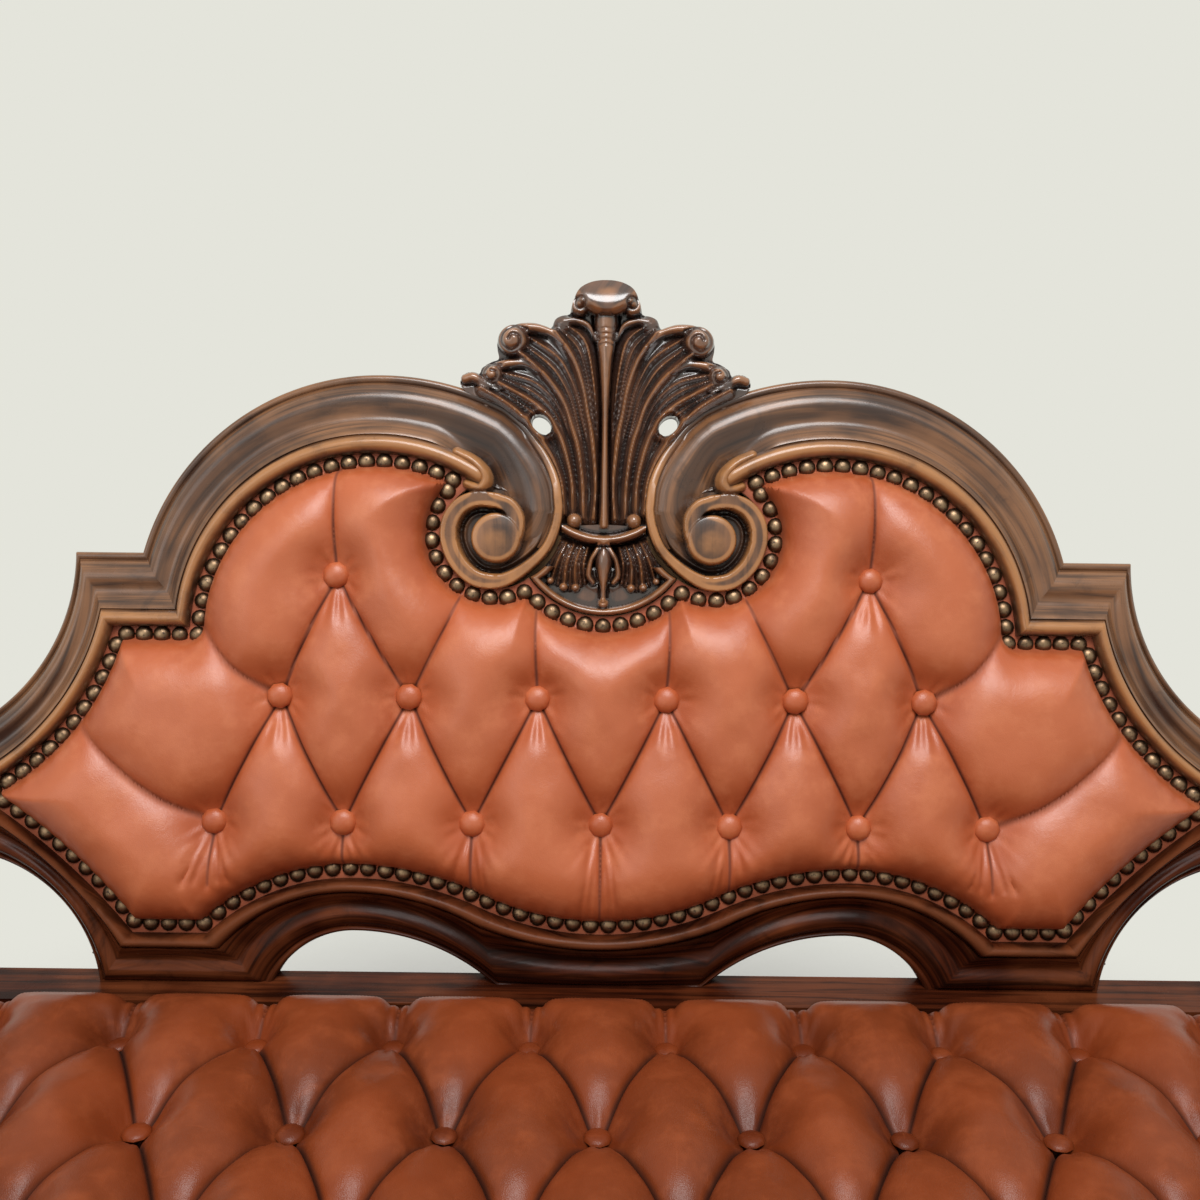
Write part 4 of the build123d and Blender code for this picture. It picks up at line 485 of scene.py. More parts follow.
def leatherMaterial(name, kind, creases=True):
    values = leatherValues[kind]
    material, tree, shader, f = newMaterial(name)
    objectPlace = f.make("ShaderNodeTexCoord", output="Object")
    clouds = noise(f, objectPlace, leatherValues["cloudScale"], 4.0, 0.55)
    stains = noise(f, objectPlace, leatherValues["stainScale"], 4.0, 0.6)
    body = clouds.between(0.34, 0.68).blend(rgb(*values["dark"]), rgb(*values["base"]))
    body = (stains.between(0.45, 0.75) * 0.55).blend(body, rgb(*values["light"]))
    cells = f.make("ShaderNodeTexVoronoi", {"Vector": objectPlace, "Scale": leatherValues["poreScale"]},
                   feature="DISTANCE_TO_EDGE")
    fine = noise(f, objectPlace, leatherValues["grainScale"], 3.0, 0.6)
    lines = noise(f, stretched(f, objectPlace, (260.0, 30.0, 30.0)), 1.0, 3.0, 0.6, 1.2)
    cross = noise(f, stretched(f, objectPlace, (26.0, 240.0, 240.0)), 1.0, 3.0, 0.6, 1.4)
    scratch = lines.between(0.66, 0.72) + cross.between(0.67, 0.73)
    body = (scratch * values["scratch"] * 0.5).blend(body, rgb(*values["light"]))
    if creases:
        creaseShade = stored(f, "creaseShade")
        # Lighter on the crowns of the puffs: rubbed wear with a painted sheen
        rubbed = stored(f, "crown")
        body = (rubbed.between(0.55, 1.0) * (0.2 + stains * 0.5)).blend(body, rgb(*values["light"]))
        # Painted shade in creases, round the buttons, under the nails and along the edge beside the wood
        body = (creaseShade.between(0.12, 0.95) * 0.88).blend(body, rgb(*values["creaseShade"]))
    rough = values["rough"] + 0.16 * (stains - 0.5) + 0.10 * (fine - 0.5)
    if creases:
        rough = rough + 0.4 * creaseShade.between(0.1, 0.7)
    relief = bump(f, cells.between(0.0, 0.35), 0.16, 0.0004)
    relief = bump(f, fine, 0.10, 0.0005, relief)
    wrinkles = noise(f, objectPlace, leatherValues["wrinkleScale"], 3.0, 0.55, 0.6)
    relief = bump(f, wrinkles, 0.12, 0.0030, relief)
    if values["scratch"] > leatherValues["cutFrom"]:
        relief = bump(f, 1.0 - scratch * 0.5, 0.25, 0.0004, relief)
    feed(tree, shader, color=body, rough=rough, normal=relief)
    shader.inputs["Specular IOR Level"].default_value = values["shine"]
    return material


# bright is the tone at the top of each head: rubbed brass with a painted highlight
metalValues = {"dark": (96, 76, 58), "bright": (156, 130, 102), "grime": (54, 42, 33), "spotScale": 420.0}


def nailMaterial(name):
    values = metalValues
    material, tree, shader, f = newMaterial(name)
    objectPlace = f.make("ShaderNodeTexCoord", output="Object")
    each = stored(f, "each")
    # Brighter toward the top of each head: rubbed brass with a painted highlight
    rub = stored(f, "dome")
    spots = noise(f, objectPlace, values["spotScale"], 3.0, 0.6)
    body = (rub.between(0.45, 1.0) * (0.35 + each * 0.65)).blend(rgb(*values["dark"]), rgb(*values["bright"]))
    body = spots.between(0.52, 0.72).blend(body, rgb(*values["grime"]))
    feed(tree, shader, color=body, rough=0.26 + spots * 0.22, metal=1.0 - 0.45 * spots.between(0.5, 0.75),
         normal=bump(f, spots, 0.12, 0.0004))
    return material


def plainMaterial(name, first, second, scale, rough, metallic=0.0, weave=0.0):
    # Hidden and working parts: two tones, with a woven bump where asked.
    material, tree, shader, f = newMaterial(name)
    objectPlace = f.make("ShaderNodeTexCoord", output="Object")
    mottle = noise(f, objectPlace, scale, 4.0, 0.6)
    body = mottle.between(0.35, 0.68).blend(rgb(*first), rgb(*second))
    if weave:
        warp = f.make("ShaderNodeTexWave", {"Vector": objectPlace, "Scale": weave}, bands_direction="X")
        weft = f.make("ShaderNodeTexWave", {"Vector": objectPlace, "Scale": weave}, bands_direction="Y")
        normal = bump(f, warp * weft, 0.5, 0.0006)
        body = ((warp * weft) * 0.35).blend(body, rgb(*first))
    else:
        normal = bump(f, mottle, 0.15, 0.0006)
    feed(tree, shader, color=body, rough=rough + 0.15 * mottle, normal=normal)
    shader.inputs["Metallic"].default_value = metallic
    return material


carvedWood = woodMaterial("carvedWood", "walnut", 1.0)
crestWood = woodMaterial("crestWood", "carved", 0.8)
railWood = woodMaterial("railWood", "mahogany", 0.65)
woodAlongX = woodMaterial("woodAlongX", "mahogany", 0.0, 1.1, "x")
railAlongX = woodMaterial("railAlongX", "walnut", 0.0, 0.7, "x")
woodAlongY = woodMaterial("woodAlongY", "walnut", 0.0, 0.85, "y")
woodAlongZ = woodMaterial("woodAlongZ", "walnut", 0.0, 0.85, "z")
backHide = leatherMaterial("backHide", "back")
seatHide = leatherMaterial("seatHide", "seat")
buttonHide = leatherMaterial("buttonHide", "back", False)
seatButtonHide = leatherMaterial("seatButtonHide", "seat", False)
bronze = nailMaterial("bronze")
steel = plainMaterial("steel", (120, 120, 122), (160, 160, 160), 60.0, 0.35, 1.0)
beech = plainMaterial("beech", (150, 112, 74), (186, 148, 104), 30.0, 0.6)
blackCloth = plainMaterial("blackCloth", (24, 24, 26), (46, 46, 48), 40.0, 0.85, 0.0, 260.0)
print("materials made")

# Moulding strips: outer curve, sight curve and a profile ruled between them

mouldingValues = {
    # share of the width from the outer edge, height off the rear plane, rubbed share, share of grime and
    # painted shade in grooves and on the inner wall
    "profile": [(0.0, 0.0, 0.0, 0.0), (0.0, 14.0, 0.1, 0.1), (0.015, 16.3, 0.5, 0.0), (0.05, 17.2, 0.3, 0.1),
                (0.085, 16.6, 0.2, 0.2), (0.10, 15.4, 0.0, 0.6), (0.125, 16.8, 0.0, 0.3),
                (0.16, 19.0, 0.1, 0.0), (0.205, 21.3, 0.2, 0.0), (0.26, 23.2, 0.35, 0.0),
                (0.32, 24.2, 0.4, 0.0), (0.38, 23.9, 0.25, 0.0), (0.44, 22.4, 0.05, 0.2),
                (0.50, 20.8, 0.0, 0.3), (0.55, 20.4, 0.05, 0.2), (0.60, 21.4, 0.1, 0.1),
                (0.66, 24.0, 0.25, 0.0), (0.72, 27.0, 0.4, 0.0), (0.77, 29.2, 0.5, 0.0),
                (0.79, 29.6, 0.4, 0.1), (0.80, 28.2, 0.0, 0.7), (0.812, 29.4, 0.2, 0.5),
                (0.845, 33.0, 0.75, 0.0), (0.89, 34.9, 1.0, 0.0), (0.945, 34.8, 1.0, 0.0),
                (0.995, 32.4, 0.6, 0.0), (1.03, 28.0, 0.15, 0.4), (1.045, 21.0, 0.0, 0.9),
                (1.0, 0.0, 0.0, 0.9)],
    # the same rows where the arch has become the scroll's band: millimetres from the edge, height, rubbed
    "bandRows": [(0.0, 0.0, 0.0), (0.0, 27.0, 0.2), (0.6, 29.6, 0.9), (2.0, 30.6, 1.0), (6.2, 30.6, 1.0),
                 (7.0, 29.6, 0.8), (7.6, 23.0, 0.0), (8.8, 22.0, 0.0)],
    # and beyond the band: share of what is left, height over the floor
    "coveRows": [(0.02, 7.6), (0.14, 9.6), (0.30, 10.0), (0.42, 8.8), (0.53, 6.6), (0.62, 4.2), (0.69, 2.4),
                 (0.75, 1.0), (0.80, 0.3)],
    "floor": 14.5, "coveLoss": 0.75, "coveRub": 0.15, "floorFrom": 0.84, "darkLoss": 0.6, "sides": 40,
    # start and length, in stations, of the change of the outer rows, the sight edge and the rows between
    "slow": (0.0, 1.0), "fast": (-0.05, 0.4), "early": (-0.55, 0.6), "outerRows": 14, "middleRows": 20,
    # the band's end sinks a little, apart from its rear rows
    "end": (1.7, 0.3), "endDrop": 1.0, "rearRows": 3.0,
}


def runPoints(curve, sides):
    return arcPoints(*curve, sides) if len(curve) == 3 else smoothPath(curve, sides)


def stations(runs, sides):
    outer, inner = [], []
    for k, (o, s) in enumerate(runs):
        first = 1 if k else 0
        outer.append(runPoints(o, sides)[first:])
        inner.append(runPoints(s, sides)[first:])
    return np.vstack(outer), np.vstack(inner)


def neckRows(past, width, ring):
    # Shares, heights and rubbing of the scroll's band, its hollow and the floor beside it.
    values = mouldingValues
    band, cove = np.array(values["bandRows"]), np.array(values["coveRows"])
    edge, end = len(band), len(band) + len(cove)
    shares, heights, rubbed = np.ones((3, len(past), ring))
    shares[:, :edge] = band[:, 0] / width[:, None]
    heights[:, :edge] = band[:, 1]
    rubbed[:, :edge] = band[:, 2]
    used = shares[:, edge - 1:edge]
    shares[:, edge:end] = used + (1 - used) * cove[:, 0]
    shares[:, end:] = used + (1 - used) * np.linspace(values["floorFrom"], 1.0, ring - end)
    heights[:, edge:end] = values["floor"] + cove[:, 1] * (1 - values["coveLoss"] * ramp(past, 1.0, 1.0))
    heights[:, end:] = values["floor"]
    heights[:, -1] = 0.0
    rubbed[:, edge:] = values["coveRub"]
    return shares, heights, rubbed


def neckMix(past, ring):
    # How far each row of the profile has changed at each station.
    values = mouldingValues
    slow, fast, early = (ramp(past, *values[key]) for key in ("slow", "fast", "early"))
    row = np.arange(ring)[None, :]
    quick = np.where(row < values["middleRows"], early, fast)
    mix = np.where(row < values["outerRows"], slow, np.maximum(slow, quick))
    return mix * mix * (3 - 2 * mix)


def moulding(runs, neckFrom=None, mirrored=False):
    # From the station neckFrom on, the profile changes into the scroll's band and hollow.
    values = mouldingValues
    outer, inner = stations(runs, values["sides"])
    profile = np.array(values["profile"])
    count, ring = len(outer), len(profile)
    run = np.concatenate([[0], np.cumsum(np.hypot(*np.diff((outer + inner) / 2, axis=0).T))])
    width = np.hypot(*(inner - outer).T)
    shares, heights, rubbed, dark = (np.repeat(profile[None, :, k], count, axis=0) for k in range(4))
    if neckFrom is not None:
        past = np.linspace(0, len(runs), count) - neckFrom
        mix = neckMix(past, ring)
        newShares, newHeights, newRubbed = neckRows(past, width, ring)
        shares, heights = shares + (newShares - shares) * mix, heights + (newHeights - heights) * mix
        rubbed, dark = rubbed + (newRubbed - rubbed) * mix, dark * (1 - values["darkLoss"] * mix)
        sunk = ramp(past, *values["end"]) * (heights > values["rearRows"])
        heights = heights - values["endDrop"] * sunk
    places = outer[:, None, :] + shares[..., None] * (inner - outer)[:, None, :]
    u = places[..., 0] * (-1 if mirrored else 1)
    verts = onPanel(u, places[..., 1], heights).reshape(-1, 3)
    along, across = np.repeat(run[:, None], ring, 1), shares * width[:, None] + heights
    uvs = np.stack([along, across], axis=-1) * millimetre
    shades = {"wear": rubbed.ravel(), "grimeAndShade": dark.ravel()}
    return verts, tubeFaces(count, ring), uvs.reshape(-1, 2), shades


# Carved relief: a height over the panel, cut to an outline
carving = {
    # cells that snap to the outline, least slope of the edge measure, reach of the mean height
    "snap": 0.62, "leastSlope": 0.25, "hollowReach": 3.0, "outside": -99.0,
    # rubbed share, and share of grime and painted shade, by how far a place stands over or under the mean
    "rubFrom": 0.45, "rubMost": 0.9, "topRub": 0.38, "grimeAndShadeFrom": 0.2, "range": 2.0,
    "grainAlong": 0.0006, "grainAcross": 0.0004, "blurPasses": 3,
}


def blurred(field, cells):
    # Box mean over a few cells, several times.
    for axis in (0, 1):
        for turn in range(carving["blurPasses"]):
            margins = [(0, 0), (0, 0)]
            margins[axis] = (cells + 1, cells)
            total = np.cumsum(np.pad(field, margins, mode="edge"), axis=axis)
            high = np.take(total, range(2 * cells + 1, total.shape[axis]), axis=axis)
            low = np.take(total, range(0, total.shape[axis] - 2 * cells - 1), axis=axis)
            field = (high - low) / (2 * cells + 1)
    return field


def carved(inside, height, low, high, step, rear, mirrored=False, put=onPanel, raised=99.0, polish=None,
           shift=None, lattice=None):
    # The grid is square, or follows a lattice given by its start and its two ways.
    start, first, second = (np.array(q, float) for q in lattice or (low, (step, 0.0), (0.0, step)))
    area = first[0] * second[1] - first[1] * second[0]
    boxCorners = np.array([(x, y) for x in (low[0], high[0]) for y in (low[1], high[1])]) - start
    ends = np.linalg.solve(np.stack([first, second], axis=1), boxCorners.T)
    i, j = np.meshgrid(*(np.arange(math.floor(e.min()), math.ceil(e.max()) + 1) for e in ends), indexing="ij")
    u = start[0] + i * first[0] + j * second[0]
    v = start[1] + i * first[1] + j * second[1]
    margin = 2 * step
    near = (u > low[0] - margin) & (u < high[0] + margin) & (v > low[1] - margin) & (v < high[1] + margin)
    measure = np.full(u.shape, carving["outside"])
    measure[near] = inside(u[near], v[near])
    di, dj = np.gradient(measure)
    du, dv = (second[1] * di - first[1] * dj) / area, (first[0] * dj - second[0] * di) / area
    size = np.maximum(np.hypot(du, dv), carving["leastSlope"])
    rim = np.abs(measure) / size < carving["snap"] * step
    keep = (measure > 0) | rim
    u = np.where(rim, u - du * measure / size ** 2, u)
    v = np.where(rim, v - dv * measure / size ** 2, v)
    known = keep if lattice else near
    w = np.full(u.shape, float(rear))
    w[known] = height(u[known], v[known])
    hollow = w - blurred(w, max(1, round(carving["hollowReach"] / step)))
    number = np.arange(u.size).reshape(u.shape)
    corners = gridCorners(number)
    kept = keep.ravel()[corners]
    allRim = rim.ravel()[corners].all(axis=1)
    faces = [tuple(c) for c in corners[kept.all(axis=1) & ~allRim]]
    three = kept.sum(axis=1) == 3
    for c, k in zip(corners[three], kept[three]):
        triple = tuple(i for i, yes in zip(c, k) if yes)
        if not rim.ravel()[list(triple)].all():
            faces.append(triple)
    edges = dict.fromkeys((a, b) for f in faces for a, b in zip(f, f[1:] + f[:1]))
    border = [(a, b) for a, b in edges if (b, a) not in edges]
    used = np.unique(np.array([i for f in faces for i in f]))
    index = {old: new for new, old in enumerate(used)}
    rimIds = sorted({i for e in border for i in e})
    under = {old: len(used) + k for k, old in enumerate(rimIds)}
    faces = [tuple(index[i] for i in f) for f in faces]
    faces += [(index[b], index[a], under[a], under[b]) for a, b in border]
    take = np.concatenate([used, np.array(rimIds)])
    u, v = u.ravel()[take], v.ravel()[take]
    w = np.concatenate([w.ravel()[used], np.full(len(rimIds), rear)])
    bend = np.concatenate([hollow.ravel()[used], np.zeros(len(rimIds))])
    rubbed = np.clip((bend - carving["rubFrom"]) / carving["range"], 0, carving["rubMost"])
    rubbed = np.maximum(rubbed, carving["topRub"] * np.clip((w - raised) / carving["range"], 0, 1))
    if polish is not None:
        rubbed = np.maximum(rubbed, polish(u, v))
    bare = np.concatenate([np.zeros(len(used)), np.ones(len(rimIds))])
    # Grime and painted shade in the hollows below the mean height
    grimeAndShade = np.clip((-bend - carving["grimeAndShadeFrom"]) / carving["range"], 0, 1)
    values = {"wear": rubbed, "grimeAndShade": grimeAndShade, "bare": bare}
    uvs = np.stack([v * carving["grainAlong"], (u + w) * carving["grainAcross"], u, v], axis=-1)
    if shift is not None:
        u, v, w = shift(u, v, w, np.arange(len(u)) < len(used))
    return put(-u if mirrored else u, v, w), faces, uvs, values


def closed(obj):
    # Fills open rear borders and turns all faces outwards.
    work = bmesh.new()
    work.from_mesh(obj.data)
    border = [e for e in work.edges if e.is_boundary]
    if border:
        bmesh.ops.triangle_fill(work, use_beauty=False, use_dissolve=False, edges=border)
    bmesh.ops.recalc_face_normals(work, faces=work.faces)
    work.to_mesh(obj.data)
    work.free()
    obj.data.shade_smooth()
    obj.data.set_sharp_from_angle(angle=sharpAngle)
    return obj


def strokeField(u, v, points, count=40, margin=30.0):
    # Distance to a curve, and the curve's own extra columns at the nearest place.
    path = smoothPath(points, count)
    best = np.full(u.shape, 1e9)
    extra = np.zeros(u.shape + (path.shape[1] - 2,))
    window = ((u > path[:, 0].min() - margin) & (u < path[:, 0].max() + margin)
              & (v > path[:, 1].min() - margin) & (v < path[:, 1].max() + margin))
    uw, vw = u[window], v[window]
    near, more = best[window], extra[window]
    for a, b in zip(path, path[1:]):
        d, t = segmentDistance(uw, vw, a, b)
        closer = d < near
        near = np.where(closer, d, near)
        more = np.where(closer[:, None], a[2:] + t[:, None] * (b[2:] - a[2:]), more)
    best[window], extra[window] = near, more
    return best, extra


def roundBar(d, radius):
    return np.sqrt(np.clip(1 - (d / radius) ** 2, 0, 1))


def flatBar(d, radius, edge):
    # Level top with a rounded edge.
    x = np.clip((radius - d) / edge, 0, 1)
    return np.sqrt(1 - (1 - x) ** 2)


# Scroll at the end of each arch
scroll = {
    # band: place on its middle line, half width, top, then width and top of the hollow moulding beside it
    "band": [(36.2, 382, 3.9, 30.2, 24, 23), (36, 376, 3.9, 30.4, 24, 23), (38.5, 360, 4, 31, 20, 20.5),
             (46, 343, 4.2, 31, 17, 18.5), (60, 329, 4.9, 31, 14, 17), (75, 319.5, 5.9, 31, 12.5, 16),
             (87, 317, 6.7, 31, 12, 15.5), (101.5, 320, 7.2, 31, 11.5, 15), (114.5, 332, 7.4, 31, 11, 15),
             (121.3, 348, 7.5, 31, 11, 15), (121, 363, 7.5, 31, 11, 15), (114.5, 374.5, 7.3, 31, 11, 15),
             (105, 380.5, 7, 31, 11, 15), (96, 382, 6.8, 31, 10, 15), (84, 380.5, 6.6, 31, 8, 15)],
    "inner": [(84, 380.5, 6.6, 31), (75, 376.5, 7.2, 31), (68.8, 367.5, 7.2, 31), (67.2, 357, 5.4, 31),
              (68.6, 347, 3.4, 31), (72, 338.5, 1.2, 30)],
    "floor": 14.5, "eye": (84.5, 351.5), "eyeRadius": 20.5, "eyeTop": 31.0, "eyeDome": 2.4,
    # end of the arch's bead, hooked back on itself
    "hook": [(116, 418, 5.2, 33), (104, 412, 5.8, 35), (95.5, 404, 6.4, 35.5), (93, 396.5, 7, 35),
             (96.5, 391, 7, 34), (102, 391.5, 6.0, 32), (108, 394, 4.6, 29)],
    # outer edge of the neck from the arch to the scroll, and the inner edge under it
    "neck": [(78, 456), (66, 446), (55, 433), (43, 415.5), (35, 396.5), (32, 376)],
    "back": [(32, 376), (33, 367), (34.6, 359), (37.6, 350), (42, 341.5)],
    "under": [(78, 369), (72, 350)],
    # discs behind the turn and at the hook's root: place and radius
    "disc": (85, 354, 40.0), "root": (91, 388, 9.5),
    # hollow beside the band: its reach, then depth, place and width of its groove and of its fine bead
    "hollowReach": 60.0, "groove": (2.5, 1.2, 1.3), "bead": (1.2, 4.2, 1.2), "edge": 2.4, "eyeEdge": 2.6,
    # rubbed share of the eye, its reach and how far it lies below the middle
    "eyeRub": (0.62, 15.0, 4.0),
    "low": (24.0, 300.0), "high": (132.0, 440.0), "step": 0.8, "rear": 2.0, "raised": 28.5,
    "bandSteps": 110, "hookSteps": 30,
}


def discInside(u, v, disc):
    return disc[2] - np.hypot(u - disc[0], v - disc[1])


def scrollInside(u, v):
    d, extra = strokeField(u, v, scroll["band"], scroll["bandSteps"])
    hookD, hookExtra = strokeField(u, v, scroll["hook"], scroll["hookSteps"])
    discs = np.maximum(discInside(u, v, scroll["disc"]), discInside(u, v, scroll["root"]))
    return np.maximum(np.maximum(extra[..., 0] - d, hookExtra[..., 0] - hookD), discs)


def scrollHeight(u, v):
    floor, edge = scroll["floor"], scroll["edge"]
    d, extra = strokeField(u, v, scroll["band"], scroll["bandSteps"])
    half, top, room, hump = (extra[..., i] for i in range(4))
    beside = np.clip((d - half) / np.maximum(room, 1.0), 0, 1)
    hollow = floor + (hump - floor) * np.sin(math.pi * np.clip(beside / 0.9, 0, 1) ** 0.8)
    for (rise, at, width), way in ((scroll["groove"], -1), (scroll["bead"], 1)):
        hollow = hollow + way * rise * bell(d - half, at, width)
    hollow = np.where(d > scroll["hollowReach"], floor, hollow)
    band = floor + (top - floor) * flatBar(d, half + 0.3, edge)
    h = np.where(d < half, np.maximum(hollow, band), hollow)
    innerD, innerExtra = strokeField(u, v, scroll["inner"], scroll["hookSteps"])
    bar = floor + (innerExtra[..., 1] - floor) * flatBar(innerD, innerExtra[..., 0], edge)
    h = np.where(innerD < innerExtra[..., 0], np.maximum(h, bar), h)
    away = np.hypot(u - scroll["eye"][0], v - scroll["eye"][1])
    eye = floor + (scroll["eyeTop"] - floor) * flatBar(away, scroll["eyeRadius"], scroll["eyeEdge"])
    eye = eye + scroll["eyeDome"] * roundBar(away, scroll["eyeRadius"])
    h = np.where(away < scroll["eyeRadius"], np.maximum(h, eye), h)
    hookD, hookExtra = strokeField(u, v, scroll["hook"], scroll["hookSteps"])
    hookBar = floor + (hookExtra[..., 1] - floor) * roundBar(hookD, hookExtra[..., 0] + 0.2)
    return np.where(hookD < hookExtra[..., 0], np.maximum(h, hookBar), h)


def scrollPolish(u, v):
    share, reach, drop = scroll["eyeRub"]
    away = np.hypot(u - scroll["eye"][0], v - scroll["eye"][1] + drop)
    return share * np.exp(-(away / reach) ** 4)


hornSplitPoint = hornAt(panel["hornSplit"])
hornUpper = (panel["ear"], hornAt(panel["hornSplit"] / 2), hornSplitPoint)
hornLower = (hornSplitPoint, hornAt((panel["hornSplit"] + 90) / 2), postTop)
tipRun = straight(panel["tip"], postMid)
hornRuns = [(straight(panel["earEnd"], panel["ear"]), straight(panel["sightEarEnd"], panel["sightEar"])),
            (hornUpper, sightHorn), (hornLower, tipRun)]
lowerRuns = [(bulged(panel["footOuter"], panel["lowerHorn"], panel["lowerBulge"]), sightLower),
             (straight(panel["lowerHorn"], postLow), tipRun)]
archCorner = (panel["archTop"][0], panel["ear"][1])
archRuns = [(quarter(panel["earEnd"], panel["archTop"], archCorner, panel["fullness"]), sightArch),
            (level(panel["archTop"], panel["neck"]), sightNeck),
            (scroll["neck"], straight(hook, scroll["under"][0])),
            (scroll["back"], straight(*scroll["under"]))]
footLevel = panel["footInner"][1]
middleFoot = (panel["middleFoot"], footLevel)
rightRail = [(straight((0.0, footLevel), middleFoot), sightRail[0]),
             (level(panel["gapTop"], middleFoot)[::-1], sightRail[1]),
             (level(panel["gapTop"], panel["footInner"]), sightRail[2]),
             (straight(panel["footInner"], panel["footOuter"]), sightRail[3])]


def flippedRun(curve):
    return tuple((-q[0], q[1]) for q in curve[::-1])


leftRail = [(flippedRun(o), flippedRun(s)) for o, s in reversed(rightRail)]
neckStation = 2.0
for side, mirrored in (("right", False), ("left", True)):
    relief = carved(scrollInside, scrollHeight, scroll["low"], scroll["high"], scroll["step"], scroll["rear"],
                    mirrored, raised=scroll["raised"], polish=scrollPolish)
    arch = closed(joined("arch" + side.title(), [moulding(archRuns, neckStation, mirrored), relief]))
    place(arch, carvedWood, "show_wood", "back_arch_" + side)
    horn = closed(joined("horn" + side.title(), [moulding(hornRuns, None, mirrored)]))
    place(horn, carvedWood, "show_wood", "back_horn_" + side)
    lowerHorn = joined("lowerHorn" + side.title(), [moulding(lowerRuns, None, mirrored)])
    place(closed(lowerHorn), railWood, "show_wood", "back_lower_horn_" + side)
bottomRail = closed(joined("bottomRail", [moulding(leftRail + rightRail)]))
place(bottomRail, railWood, "show_wood", "back_bottom_rail")
print("frame mouldings made")

